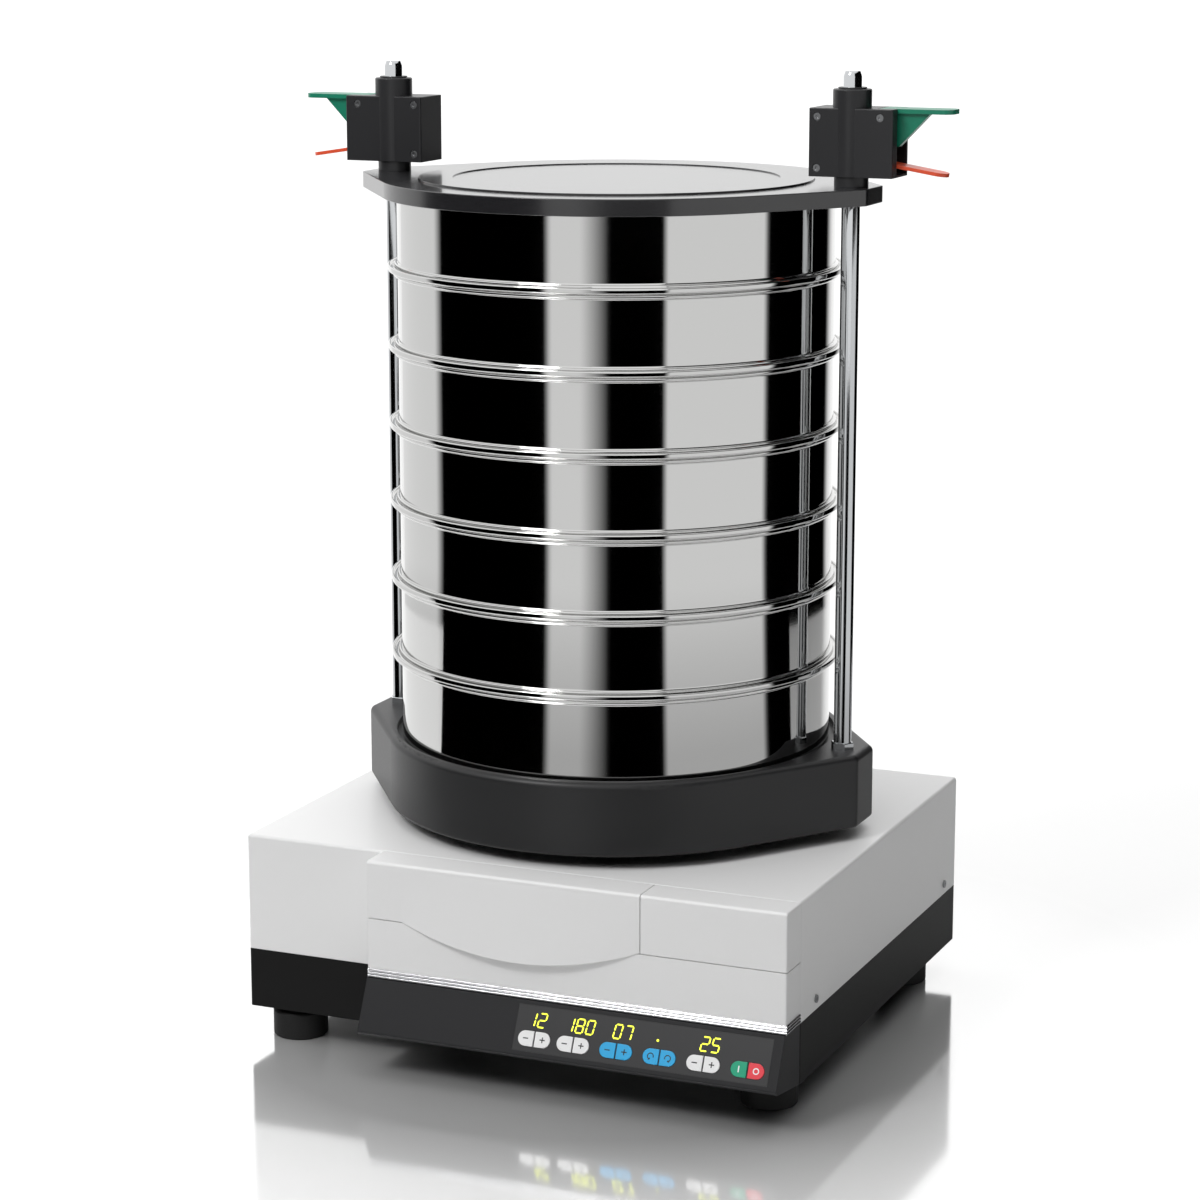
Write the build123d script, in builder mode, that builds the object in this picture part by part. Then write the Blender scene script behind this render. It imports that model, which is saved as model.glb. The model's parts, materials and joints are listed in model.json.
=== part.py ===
from build123d import *
import math
import os

# Sieve shaker with a horizontal circular motion, for sieves of 400 mm diameter.
# X is to the right, Y to the back and Z up. The origin is on the floor, in the middle of the footprint.
# All lengths are in millimetres.

# Housing
housing_width = 540.0
cover_depth = 449.5
foot_height = 30.0
chassis_height = 55.5
cover_height = 109.0
chassis_sheet = 2.0
cover_wall = 2.5
cover_edge_radius = 3.0
seam_gap = 0.6

# Feet
foot_radius = 25.3
foot_neck_radius = 19.0
foot_neck_height = 5.0
foot_from_side = 37.5
foot_from_cover_front = 28.0
foot_from_back = 53.5

# Fascia in front of the right-hand part of the housing
fascia_depth = 34.0
fascia_left_x = -129.4
nose_seam_x = 134.8
fascia_split_height = 56.2
fascia_wall = 2.5
nose_width = 230.2
nose_drop = 21.2
nose_bulge = 8.0
trim_height = 8.7
trim_ribs = 3
trim_proud = 1.3

# Control housing below the fascia, with a panel that slopes forward
panel_run = 21.0
panel_drop = 44.5
panel_inset = 2.5
control_wall = 3.6
overlay_left_x = 21.9
overlay_right_x = 260.9
overlay_top_margin = 3.5
overlay_bottom_margin = 4.6
overlay_thickness = 0.5
key_width = 14.6
key_height = 13.6
key_split = 1.3
key_centre_down = 33.0
key_proud = 0.7
key_travel = 0.4
key_clearance = 0.3
key_thickness = 2.2
first_pair_x = 41.5
second_pair_x = 78.5
pair_pitch = 40.7
display_centre_down = 16.0
display_height = 15.0
display_digit_pitch = 9.8
board_gap = 7.0
board_thickness = 1.6
board_side_margin = 4.0
board_top_margin = 6.0
board_bottom_margin = 8.0

# Side screws of the cover
side_screw_head_radius = 3.6
side_screw_radius = 2.0
side_screw_up = 10.2
side_screw_from_front = 41.0
side_screw_from_back = 36.5

# Drive: a vertical crank in the middle, with three idler cranks around it
shaft_y = 12.0
eccentricity = 15.0
rest_phase_deg = 75.0
main_shaft_radius = 12.5
main_bearing_radius = 26.0
main_bearing_height = 15.0
crank_pin_radius = 10.0
pin_bearing_radius = 23.5
pin_bearing_height = 14.0
idler_circle_radius = 135.0
idler_count = 3
idler_shaft_radius = 7.5
idler_bearing_radius = 16.0
idler_bearing_height = 9.0
idler_pin_radius = 6.0
idler_pin_bearing_radius = 14.0
idler_pin_bearing_height = 8.0
main_web_radius = 22.0
main_web_end_radius = 18.0
idler_web_radius = 14.0
idler_web_end_radius = 12.0
running_clearance = 0.05
web_thickness = 14.0
web_above_cover = 11.5
pin_height = 28.0
counterweight_radius = 85.0
counterweight_angle = 150.0
crank_pulley_radius = 75.0
motor_pulley_radius = 25.0
pulley_height = 20.0
pulley_rim = 2.0
shaft_end_below_pulley = 4.0
belt_thickness = 3.5
belt_clearance = 0.3
bridge_plate_thickness = 10.0
bridge_boss_height = 46.0
bridge_width = 360.0
bridge_length = 320.0
bridge_leg_radius = 11.0
bridge_leg_inset = 15.0
boss_wall = 9.0
motor_distance = 155.0
motor_radius = 45.0
motor_shaft_radius = 7.0

# Stack of sieves on a collecting pan
wall_radius = 200.0
sheet = 1.2
sieve_pitch = 71.5
sieve_count = 6
pan_height = 78.5
pan_corner_radius = 5.0
bead_proud = 4.2
bead_height = 5.0
flange_proud = 9.0
flange_height = 5.6
flange_lip = 2.4
flange_groove_height = 2.6
flange_step_proud = 2.6
flange_step_height = 7.4
skirt_depth = 9.0
skirt_clearance = 0.6
cloth_height = 2.0
cloth_thickness = 0.8

# Platform that carries the stack
platform_rim = 8.5
ear_half_width = 22.0
ear_corner_radius = 8.0
platform_height = 68.0
platform_above_cover = 11.5
platform_edge_radius = 6.0
platform_wall = 12.0
platform_deck = 12.0
seat_clearance = 5.5
seat_recess_depth = 6.0

# Tie rods with their nuts
rod_clearance = 7.75
rod_edge = 22.5
rod_radius = 8.25
rod_tip_height = 613.0
rod_seat_depth = 40.0
rod_boss_radius = 19.0
rod_tip_chamfer = 1.4
rod_tip_chamfer_length = 4.7
nut_across_flats = 18.6
nut_height = 6.0

# Clamping plate with its lid
plate_thickness = 15.0
plate_edge_radius = 0.8
plate_overlap = 4.5
bead_clearance = 1.8
lid_border = 20.0
lid_proud = 1.6
lid_flange_inset = 1.2
lid_flange_thickness = 2.0
lid_recess_border = 31.0
lid_recess_depth = 1.0
lid_clearance = 0.4

# Clamping unit on each rod
block_inner = 35.0
block_outer = 42.5
block_front = 15.5
block_thickness = 45.0
block_height = 60.0
block_edge_radius = 1.5
sleeve_height = 9.0
sleeve_radius = 15.25
collar_radius = 17.25
collar_height = 16.5
collar_ring_radius = 12.7
collar_ring_height = 1.5
rod_bore_clearance = 0.15
slot_front_wall = 12.7
slot_width = 28.6
slot_floor = 2.0
slot_roof = 4.0
slot_inner_x = 12.5
roof_opening_x = 24.5
lever_clearance = 0.3
lever_reach = 50.0
lever_plate_thickness = 4.0
lever_corner_radius = 9.0
lever_hub_radius = 5.2
lever_web_thickness = 8.0
lever_web_reach = 29.7
lever_web_depth = 33.0
lever_web_y = 5.0
lever_pin_radius = 2.5
lever_pin_from_end = 12.0
lever_pin_down = 7.5
block_screw_inset = 7.5
block_screw_radius = 2.0
block_screw_head_radius = 3.3
block_screw_length = 18.0
block_screw_head_height = 2.0
release_hinge_x = 19.5
release_reach = 45.0
release_thickness = 3.2
release_tilt_deg = 9.0
release_up_at_end = 9.8
release_width = 21.0
release_front = 12.5
release_hole_clearance = 0.95
release_cavity_height = 21.0

# Mains inlet, serial socket and mains switch on the back
inlet_x = 190.0
inlet_width = 50.0
inlet_height = 30.0
inlet_depth = 22.0
inlet_proud = 1.5
switch_x = 138.0
switch_width = 22.0
switch_height = 30.0
switch_tilt_deg = 7.0
serial_x = 60.0
serial_width = 31.0
serial_height = 13.0
vent_slot_width = 60.0
vent_slot_height = 4.0
vent_pitch = 10.0
vent_rows = 6

# Places worked out from the sizes above
housing_depth = cover_depth + fascia_depth + panel_inset + panel_run
back_y = housing_depth / 2
cover_front_y = back_y - cover_depth
cover_mid_y = back_y - cover_depth / 2
fascia_front_y = cover_front_y - fascia_depth
chassis_bottom_z = foot_height
chassis_top_z = chassis_bottom_z + chassis_height
cover_top_z = chassis_top_z + cover_height
right_x = housing_width / 2
split_z = chassis_top_z + fascia_split_height
trim_bottom_z = chassis_top_z + 0.7
trim_top_z = trim_bottom_z + trim_height
panel_top_y = fascia_front_y - panel_inset
panel_top_z = trim_bottom_z
panel_length = math.hypot(panel_run, panel_drop)
panel_angle = math.atan2(panel_run, panel_drop)
panel_plane = Plane(
    origin=(0, panel_top_y, panel_top_z),
    x_dir=(1, 0, 0),
    z_dir=(0, -math.cos(panel_angle), math.sin(panel_angle)),
)
seat_recess_radius = wall_radius + seat_clearance
platform_radius = seat_recess_radius + platform_rim
rod_offset = wall_radius + flange_proud + rod_clearance + rod_radius
rod_spacing = 2 * rod_offset
ear_reach = rod_offset + rod_edge
lid_radius = wall_radius - lid_border
lid_flange_radius = wall_radius + bead_proud - lid_flange_inset
lid_recess_radius = lid_radius - lid_recess_border
phase = math.radians(rest_phase_deg)
crank_x = eccentricity * math.cos(phase)
crank_y = eccentricity * math.sin(phase)
platform_x = crank_x
platform_y = shaft_y + crank_y
web_bottom_z = cover_top_z + web_above_cover
web_top_z = web_bottom_z + web_thickness
pin_top_z = web_top_z + pin_height
platform_bottom_z = cover_top_z + platform_above_cover
platform_top_z = platform_bottom_z + platform_height
seat_z = platform_top_z - seat_recess_depth
pan_top_z = seat_z + pan_height
stack_top_z = pan_top_z + sieve_count * sieve_pitch
plate_bottom_z = stack_top_z - plate_overlap
plate_top_z = plate_bottom_z + plate_thickness
block_bottom_z = plate_top_z + sleeve_height
block_top_z = block_bottom_z + block_height
collar_top_z = block_top_z + collar_height
rod_x = platform_x + rod_spacing / 2
rod_top_z = platform_top_z + rod_tip_height
middle_plane = Plane.YZ.offset(platform_x)
idler_angles = [90 + 120 * (i + 1) for i in range(idler_count)]
idler_spots = [
    (
        idler_circle_radius * math.cos(math.radians(angle)),
        idler_circle_radius * math.sin(math.radians(angle)),
    )
    for angle in idler_angles
]
bridge_boss_top_z = cover_top_z - cover_wall - 3.5
bridge_boss_bottom_z = bridge_boss_top_z - bridge_boss_height
bridge_plate_z = bridge_boss_bottom_z + 8.0
tray_floor_z = chassis_bottom_z + chassis_sheet
pulley_top_z = bridge_boss_bottom_z - 4.0
pulley_bottom_z = pulley_top_z - pulley_height
at_base = (Align.CENTER, Align.CENTER, Align.MIN)

os.makedirs("parts", exist_ok=True)


def save(piece, name):
    # Labels the finished piece and writes it under the same name.
    piece.part.label = name
    export_step(piece.part, f"parts/{name}.step")


def ring(x, y, bottom, outer, inner, height):
    # Adds a plain ring, such as a bearing, to the part that is being built.
    with BuildSketch(Plane.XY.offset(bottom)) as section:
        with Locations((x, y)):
            Circle(outer)
            Circle(inner, mode=Mode.SUBTRACT)
    extrude(section.sketch, amount=height)


def post(x, y, bottom, top, radius):
    # Adds a round post between two heights.
    with BuildSketch(Plane.XY.offset(bottom)) as section:
        with Locations((x, y)):
            Circle(radius)
    extrude(section.sketch, amount=top - bottom)


def bore(x, y, bottom, top, radius):
    # Cuts a round hole between two heights.
    with BuildSketch(Plane.XY.offset(bottom)) as section:
        with Locations((x, y)):
            Circle(radius)
    extrude(section.sketch, amount=top - bottom, mode=Mode.SUBTRACT)


def eared_outline(height, inset=0.0):
    # A disc with an ear at each side: the ears' edges run tangent to the disc.
    disc = platform_radius - inset
    reach = ear_reach - inset
    half = ear_half_width - inset / 2
    corner_angle = math.atan2(half, reach)
    tangent_angle = corner_angle + math.acos(disc / math.hypot(reach, half))
    tangent_x = disc * math.cos(tangent_angle)
    tangent_y = disc * math.sin(tangent_angle)
    with BuildSketch(Plane((platform_x, platform_y, height))) as outline:
        with BuildLine():
            Polyline((tangent_x, tangent_y), (reach, half), (reach, -half), (tangent_x, -tangent_y))
            ThreePointArc((tangent_x, -tangent_y), (0, -disc), (-tangent_x, -tangent_y))
            Polyline((-tangent_x, -tangent_y), (-reach, -half), (-reach, half), (-tangent_x, tangent_y))
            ThreePointArc((-tangent_x, tangent_y), (0, disc), (tangent_x, tangent_y))
        make_face()
        ears = outline.vertices().filter_by(lambda v: abs(abs(v.X) - reach) < 0.01)
        fillet(ears, ear_corner_radius - inset / 4)
    return outline.sketch


# Feet
with BuildPart() as feet:
    foot_rows = (cover_front_y + foot_from_cover_front, back_y - foot_from_back)
    foot_spots = [(side * (right_x - foot_from_side), y) for side in (-1, 1) for y in foot_rows]
    for foot_x, foot_y in foot_spots:
        post(foot_x, foot_y, 0, foot_height - foot_neck_height, foot_radius)
        post(foot_x, foot_y, foot_height - foot_neck_height, foot_height, foot_neck_radius)
    chamfer(feet.edges().filter_by(GeomType.CIRCLE).filter_by(lambda e: e.radius > foot_neck_radius + 1), 1.5)
save(feet, "feet")

# Chassis tray of folded sheet steel, with a tab behind each side screw
side_screw_rows = (cover_front_y + side_screw_from_front, back_y - side_screw_from_back)
tab_width = 24.0
tab_height = 20.0
with BuildPart() as chassis_tray:
    with BuildSketch(Plane.XY.offset(chassis_bottom_z)):
        with Locations((0, cover_mid_y)):
            Rectangle(housing_width, cover_depth)
    extrude(amount=chassis_height)
    fillet(chassis_tray.edges().filter_by(Axis.Z), cover_edge_radius)
    offset(amount=-chassis_sheet, openings=chassis_tray.faces().sort_by(Axis.Z)[-1])
    for side in (-1, 1):
        for row in side_screw_rows:
            tab_x = side * (right_x - cover_wall - chassis_sheet / 2)
            with Locations((tab_x, row, chassis_top_z - tab_height / 2)):
                Box(chassis_sheet, tab_width, 2 * tab_height, align=at_base, mode=Mode.ADD)
            foot_x = side * (right_x - chassis_sheet / 2 - cover_wall / 2)
            with Locations((foot_x, row, chassis_top_z - tab_height / 2)):
                Box(cover_wall, tab_width, chassis_sheet, align=at_base)
            with Locations(Location((tab_x, row, chassis_top_z + side_screw_up), (0, 90, 0))):
                Cylinder(side_screw_radius, 3 * chassis_sheet, mode=Mode.SUBTRACT)
    with Locations((inlet_x, back_y, chassis_bottom_z + chassis_height / 2)):
        Box(inlet_width - 6, 4 * chassis_sheet, inlet_height - 6, mode=Mode.SUBTRACT)
    with Locations((switch_x, back_y, chassis_bottom_z + chassis_height / 2)):
        Box(switch_width, 4 * chassis_sheet, switch_height, mode=Mode.SUBTRACT)
    with Locations((serial_x, back_y, chassis_bottom_z + chassis_height / 2)):
        Box(serial_width - 12, 4 * chassis_sheet, serial_height - 3, mode=Mode.SUBTRACT)
save(chassis_tray, "chassis_tray")

# Top cover, a shell that is open below, with holes for the cranks and slots in its back
crank_hole_radius = main_shaft_radius + 9.0
idler_hole_radius = idler_shaft_radius + 6.0
with BuildPart() as top_cover:
    with BuildSketch(Plane.XY.offset(chassis_top_z)):
        with Locations((0, cover_mid_y)):
            Rectangle(housing_width, cover_depth)
    extrude(amount=cover_height)
    fillet(top_cover.edges().filter_by(Axis.Z), cover_edge_radius)
    fillet(top_cover.edges().group_by(Axis.Z)[-1], cover_edge_radius)
    offset(amount=-cover_wall, openings=top_cover.faces().sort_by(Axis.Z)[0])
    bore(0, shaft_y, cover_top_z - 2 * cover_wall, cover_top_z + 1, crank_hole_radius)
    for spot_x, spot_y in idler_spots:
        bore(spot_x, shaft_y + spot_y, cover_top_z - 2 * cover_wall, cover_top_z + 1, idler_hole_radius)
    vent_z = chassis_top_z + cover_height / 2
    with BuildSketch(Plane.XZ.offset(-back_y)):
        for vent_x in (-housing_width / 4, housing_width / 4):
            with Locations((vent_x, vent_z)):
                with GridLocations(vent_slot_width + vent_pitch, vent_pitch, 2, vent_rows):
                    SlotOverall(vent_slot_width, vent_slot_height)
    extrude(amount=4 * cover_wall, both=True, mode=Mode.SUBTRACT)
    for side in (-1, 1):
        for row in side_screw_rows:
            with Locations(Location((side * right_x, row, chassis_top_z + side_screw_up), (0, 90, 0))):
                Cylinder(side_screw_radius, 4 * cover_wall, mode=Mode.SUBTRACT)
save(top_cover, "top_cover")

# Screws that hold the cover to the tray
with BuildPart() as cover_screws:
    for side in (-1, 1):
        for row in side_screw_rows:
            head_spot = (side * (right_x + 0.75), row, chassis_top_z + side_screw_up)
            with Locations(Location(head_spot, (0, 90, 0))):
                Cylinder(side_screw_head_radius, 1.5)
            shank_length = cover_wall + chassis_sheet + 2
            shank_spot = (side * (right_x - shank_length / 2), row, chassis_top_z + side_screw_up)
            with Locations(Location(shank_spot, (0, 90, 0))):
                Cylinder(side_screw_radius, shank_length)
            with Locations(Location((side * (right_x + 1.5), row, chassis_top_z + side_screw_up), (0, 90, 0))):
                Cylinder(side_screw_head_radius * 0.45, 1.6, mode=Mode.SUBTRACT)
save(cover_screws, "cover_screws")


def fascia_shell(left, right, bottom, top):
    # A shell that is open at the back, between two widths and two heights.
    with BuildSketch(Plane.XZ.offset(-cover_front_y)) as outside:
        with Locations(((left + right) / 2, (bottom + top) / 2)):
            Rectangle(right - left, top - bottom)
    extrude(outside.sketch, amount=fascia_depth)
    with BuildSketch(Plane.XZ.offset(-cover_front_y)) as inside:
        with Locations(((left + right) / 2, (bottom + top) / 2)):
            Rectangle(right - left - 2 * fascia_wall, top - bottom - 2 * fascia_wall)
    extrude(inside.sketch, amount=fascia_depth - fascia_wall, mode=Mode.SUBTRACT)


# Nose: the upper left part of the fascia, which swells into a lip with a curved lower edge
nose_right_x = nose_seam_x - seam_gap / 2
nose_left_x = nose_right_x - nose_width
nose_mid_x = (nose_left_x + nose_right_x) / 2
nose_low_z = split_z - nose_drop
with BuildPart() as fascia_nose:
    fascia_shell(fascia_left_x, nose_right_x, split_z, cover_top_z)
    fillet(fascia_nose.edges().filter_by(Axis.X).sort_by(Axis.Z)[-2:].sort_by(Axis.Y)[:1], cover_edge_radius)
    with BuildSketch(Plane.XY.offset(nose_low_z)):
        with BuildLine():
            Line((nose_right_x, fascia_front_y), (nose_left_x, fascia_front_y))
            ThreePointArc(
                (nose_left_x, fascia_front_y),
                (nose_mid_x, fascia_front_y - nose_bulge),
                (nose_right_x, fascia_front_y),
            )
        make_face()
    with BuildSketch(Plane.XY.offset(cover_top_z - cover_edge_radius - 2)):
        with BuildLine():
            Line((nose_right_x, fascia_front_y), (nose_left_x, fascia_front_y))
            ThreePointArc(
                (nose_left_x, fascia_front_y),
                (nose_mid_x, fascia_front_y - 0.15),
                (nose_right_x, fascia_front_y),
            )
        make_face()
    loft(ruled=True)
    with BuildSketch(Plane.XZ.offset(-fascia_front_y)):
        with BuildLine():
            ThreePointArc((nose_left_x, split_z), (nose_mid_x, nose_low_z), (nose_right_x, split_z))
            Polyline(
                (nose_right_x, split_z),
                (nose_right_x, nose_low_z - 5),
                (nose_left_x, nose_low_z - 5),
                (nose_left_x, split_z),
            )
        make_face()
    extrude(amount=nose_bulge + 1, mode=Mode.SUBTRACT)
save(fascia_nose, "fascia_nose")

# Upper right part of the fascia
with BuildPart() as fascia_upper:
    fascia_shell(nose_seam_x + seam_gap / 2, right_x, split_z, cover_top_z)
    fillet(fascia_upper.edges().filter_by(Axis.X).sort_by(Axis.Z)[-2:].sort_by(Axis.Y)[:1], cover_edge_radius)
    fillet(fascia_upper.edges().filter_by(Axis.Z).sort_by(Axis.X)[-2:].sort_by(Axis.Y)[:1], 1.5)
save(fascia_upper, "fascia_upper")

# Lower part of the fascia
with BuildPart() as fascia_lower:
    fascia_shell(fascia_left_x, right_x, trim_top_z, split_z - seam_gap)
    fillet(fascia_lower.edges().filter_by(Axis.Z).sort_by(Axis.X)[-2:].sort_by(Axis.Y)[:1], 1.5)
save(fascia_lower, "fascia_lower")

# Trim strip with round ribs, along the front and round the right-hand corner
rib_pitch = trim_height / trim_ribs
rib_radius = rib_pitch / 2 - 0.15
strip_depth = 3.0
with BuildPart() as trim_strip:
    with BuildLine() as trim_path:
        Polyline(
            (fascia_left_x, fascia_front_y, trim_bottom_z),
            (right_x, fascia_front_y, trim_bottom_z),
            (right_x, cover_front_y, trim_bottom_z),
        )
    with BuildSketch(Plane.YZ.offset(fascia_left_x)):
        with Locations((fascia_front_y + strip_depth / 2, trim_bottom_z + trim_height / 2)):
            Rectangle(strip_depth, trim_height)
        for rib in range(trim_ribs):
            with Locations((fascia_front_y, trim_bottom_z + rib_pitch * (rib + 0.5))):
                Ellipse(trim_proud, rib_radius)
    sweep(path=trim_path.wires()[0], transition=Transition.RIGHT)
save(trim_strip, "trim_strip")

# Layout of the panel
overlay_width = overlay_right_x - overlay_left_x
overlay_height = panel_length - overlay_top_margin - overlay_bottom_margin
overlay_mid_x = (overlay_left_x + overlay_right_x) / 2
overlay_mid_down = overlay_top_margin + overlay_height / 2
key_back = key_thickness - key_proud
pair_centres = [first_pair_x] + [second_pair_x + pair_pitch * i for i in range(5)]
key_names = [
    ("key_memory_down", "key_memory_up"),
    ("key_speed_down", "key_speed_up"),
    ("key_interval_down", "key_interval_up"),
    ("key_turn_left", "key_turn_right"),
    ("key_time_down", "key_time_up"),
    ("key_start", "key_stop"),
]
display_digits = (
    (first_pair_x, 2),
    (second_pair_x + 4, 3),
    (second_pair_x + pair_pitch + 4, 2),
    (second_pair_x + 3 * pair_pitch + 4, 2),
)


def key_outline(depth, pair_x, side, margin):
    # A half-oval key on the panel: flat towards its partner, round on the other side.
    width = key_width + 2 * margin
    half = key_height / 2 + margin
    centre_x = pair_x + side * (key_width + key_split) / 2
    key_plane = Plane(
        origin=panel_plane.from_local_coords((centre_x, -key_centre_down, depth)),
        x_dir=panel_plane.x_dir,
        z_dir=panel_plane.z_dir,
    )
    with BuildSketch(key_plane) as outline:
        with BuildLine():
            Polyline(
                (side * (width / 2 - half), half),
                (-side * width / 2, half),
                (-side * width / 2, -half),
                (side * (width / 2 - half), -half),
            )
            ThreePointArc(
                (side * (width / 2 - half), -half),
                (side * width / 2, 0),
                (side * (width / 2 - half), half),
            )
        make_face()
    return outline.sketch


# Control housing: a moulded shell whose panel slopes forward to a lip
lip_radius = 3.0
with BuildPart() as control_housing:
    with BuildSketch(Plane.YZ.offset(fascia_left_x)):
        with BuildLine():
            Polyline(
                (cover_front_y, trim_bottom_z),
                (panel_top_y, trim_bottom_z),
                (panel_top_y - panel_run, trim_bottom_z - panel_drop),
                (panel_top_y - panel_run + lip_radius, trim_bottom_z - panel_drop - lip_radius),
                (cover_front_y, chassis_bottom_z + 0.5),
                (cover_front_y, trim_bottom_z),
            )
        make_face()
    extrude(amount=right_x - fascia_left_x)
    fillet(control_housing.edges().filter_by(Axis.X).sort_by(Axis.Y)[:2], 2.0)
    with BuildSketch(Plane.YZ.offset(fascia_left_x + control_wall)):
        with BuildLine():
            Polyline(
                (cover_front_y, trim_bottom_z - control_wall),
                (panel_top_y + control_wall * 1.2, trim_bottom_z - control_wall),
                (panel_top_y - panel_run + control_wall * 1.8, trim_bottom_z - panel_drop + control_wall * 0.5),
                (cover_front_y, chassis_bottom_z + 0.5 + control_wall),
                (cover_front_y, trim_bottom_z - control_wall),
            )
        make_face()
    extrude(amount=right_x - fascia_left_x - 2 * control_wall, mode=Mode.SUBTRACT)
    with BuildSketch(panel_plane):
        with Locations((overlay_mid_x, -overlay_mid_down)):
            Rectangle(overlay_width, overlay_height)
    extrude(amount=-overlay_thickness, mode=Mode.SUBTRACT)
    pocket_depth = key_back + key_travel + 0.2
    for pair_x in pair_centres:
        for side in (-1, 1):
            extrude(key_outline(0, pair_x, side, key_clearance), amount=-pocket_depth, mode=Mode.SUBTRACT)
    for display_x, digits in display_digits:
        with BuildSketch(panel_plane):
            with Locations((display_x, -display_centre_down)):
                Rectangle(display_digit_pitch * digits, display_height)
        extrude(amount=-3 * control_wall, mode=Mode.SUBTRACT)
save(control_housing, "control_housing")

# Keypad overlay, a thin skin with a window for each key
with BuildPart() as keypad_overlay:
    with BuildSketch(panel_plane.offset(-overlay_thickness)):
        with Locations((overlay_mid_x, -overlay_mid_down)):
            Rectangle(overlay_width, overlay_height)
    extrude(amount=overlay_thickness)
    for pair_x in pair_centres:
        for side in (-1, 1):
            window = key_outline(-2 * overlay_thickness, pair_x, side, key_clearance)
            extrude(window, amount=4 * overlay_thickness, mode=Mode.SUBTRACT)
save(keypad_overlay, "keypad_overlay")

# Keys
for pair_x, names in zip(pair_centres, key_names):
    for side, name in zip((-1, 1), names):
        with BuildPart() as key:
            extrude(key_outline(-key_back, pair_x, side, 0), amount=key_thickness)
            fillet(key.faces().sort_by(Axis((0, 0, 0), panel_plane.z_dir))[-1].edges(), 0.4)
        save(key, name)

# Display blocks behind the overlay, and the board that carries them
board_front = -(control_wall + board_gap)
with BuildPart() as display_blocks:
    for display_x, digits in display_digits:
        with BuildSketch(panel_plane.offset(board_front)):
            with Locations((display_x, -display_centre_down)):
                Rectangle(display_digit_pitch * digits - 0.4, display_height - 0.4)
        extrude(amount=-board_front - overlay_thickness)
save(display_blocks, "display_blocks")

with BuildPart() as control_board:
    with BuildSketch(panel_plane.offset(board_front - board_thickness)):
        with Locations((overlay_mid_x, -overlay_mid_down + (board_bottom_margin - board_top_margin) / 2)):
            Rectangle(
                overlay_width - 2 * board_side_margin,
                overlay_height - board_top_margin - board_bottom_margin,
            )
    extrude(amount=board_thickness)
save(control_board, "control_board")

# Bearing bridge: a plate on four legs, with a bored boss for each crank
leg_x = bridge_width / 2 - bridge_leg_inset
leg_y = bridge_length / 2 - bridge_leg_inset
with BuildPart() as bearing_bridge:
    with BuildSketch(Plane.XY.offset(bridge_plate_z)):
        with Locations((0, shaft_y)):
            RectangleRounded(bridge_width, bridge_length, bridge_leg_inset)
            with GridLocations(bridge_width * 0.6, bridge_length * 0.68, 2, 2):
                RectangleRounded(bridge_width * 0.2, bridge_length * 0.14, 8, mode=Mode.SUBTRACT)
    extrude(amount=bridge_plate_thickness)
    post(0, shaft_y, bridge_boss_bottom_z, bridge_boss_top_z, main_bearing_radius + boss_wall)
    for spot_x, spot_y in idler_spots:
        post(
            spot_x, shaft_y + spot_y, bridge_boss_bottom_z, bridge_boss_top_z,
            idler_bearing_radius + boss_wall,
        )
    for angle in idler_angles:
        rib_plane = Plane(
            origin=(0, shaft_y, bridge_plate_z + bridge_plate_thickness),
            x_dir=(math.cos(math.radians(angle)), math.sin(math.radians(angle)), 0),
            z_dir=(0, 0, 1),
        )
        with BuildSketch(rib_plane):
            with Locations((idler_circle_radius / 2, 0)):
                Rectangle(idler_circle_radius, 8)
        extrude(amount=14)
    for leg_side in (-1, 1):
        for leg_end in (-1, 1):
            post(leg_side * leg_x, shaft_y + leg_end * leg_y, tray_floor_z, bridge_plate_z, bridge_leg_radius)
    bore(0, shaft_y, bridge_boss_bottom_z - 1, bridge_boss_top_z + 1, main_bearing_radius)
    for spot_x, spot_y in idler_spots:
        bore(
            spot_x, shaft_y + spot_y, bridge_boss_bottom_z - 1, bridge_boss_top_z + 1,
            idler_bearing_radius,
        )
save(bearing_bridge, "bearing_bridge")

# Bearings of the main crank and of the idler cranks
main_bearing_floors = (bridge_boss_bottom_z + 1, bridge_boss_top_z - 1 - main_bearing_height)
with BuildPart() as main_bearings:
    for floor in main_bearing_floors:
        main_bore_radius = main_shaft_radius + running_clearance
        ring(0, shaft_y, floor, main_bearing_radius, main_bore_radius, main_bearing_height)
save(main_bearings, "main_bearings")

idler_bearing_floors = (bridge_boss_bottom_z + 1, bridge_boss_top_z - 1 - idler_bearing_height)
with BuildPart() as idler_bearings:
    for spot_x, spot_y in idler_spots:
        for floor in idler_bearing_floors:
            ring(
                spot_x, shaft_y + spot_y, floor, idler_bearing_radius,
                idler_shaft_radius + running_clearance, idler_bearing_height,
            )
save(idler_bearings, "idler_bearings")


def crank(x, y, bottom, shaft_radius, pin_radius, web_radius, web_end_radius):
    # A shaft, a web over it and an eccentric pin on the web.
    post(x, y, bottom, web_bottom_z, shaft_radius)
    with BuildSketch(Plane.XY.offset(web_bottom_z)) as web:
        with Locations((x, y)):
            Circle(web_radius)
        with Locations((x + crank_x, y + crank_y)):
            Circle(web_end_radius)
        with Locations(Location((x + crank_x / 2, y + crank_y / 2, 0), (0, 0, rest_phase_deg))):
            Rectangle(eccentricity, 2 * min(web_radius, web_end_radius))
    extrude(web.sketch, amount=web_thickness)
    post(x + crank_x, y + crank_y, web_top_z, pin_top_z, pin_radius)


# Main crank, with its pulley below and its counterweight beside the web
with BuildPart() as main_crankshaft:
    crank(
        0, shaft_y, pulley_bottom_z - shaft_end_below_pulley, main_shaft_radius,
        crank_pin_radius, main_web_radius, main_web_end_radius,
    )
    chamfer(main_crankshaft.faces().sort_by(Axis.Z)[-1].edges(), 1.0)
save(main_crankshaft, "main_crankshaft")


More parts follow.
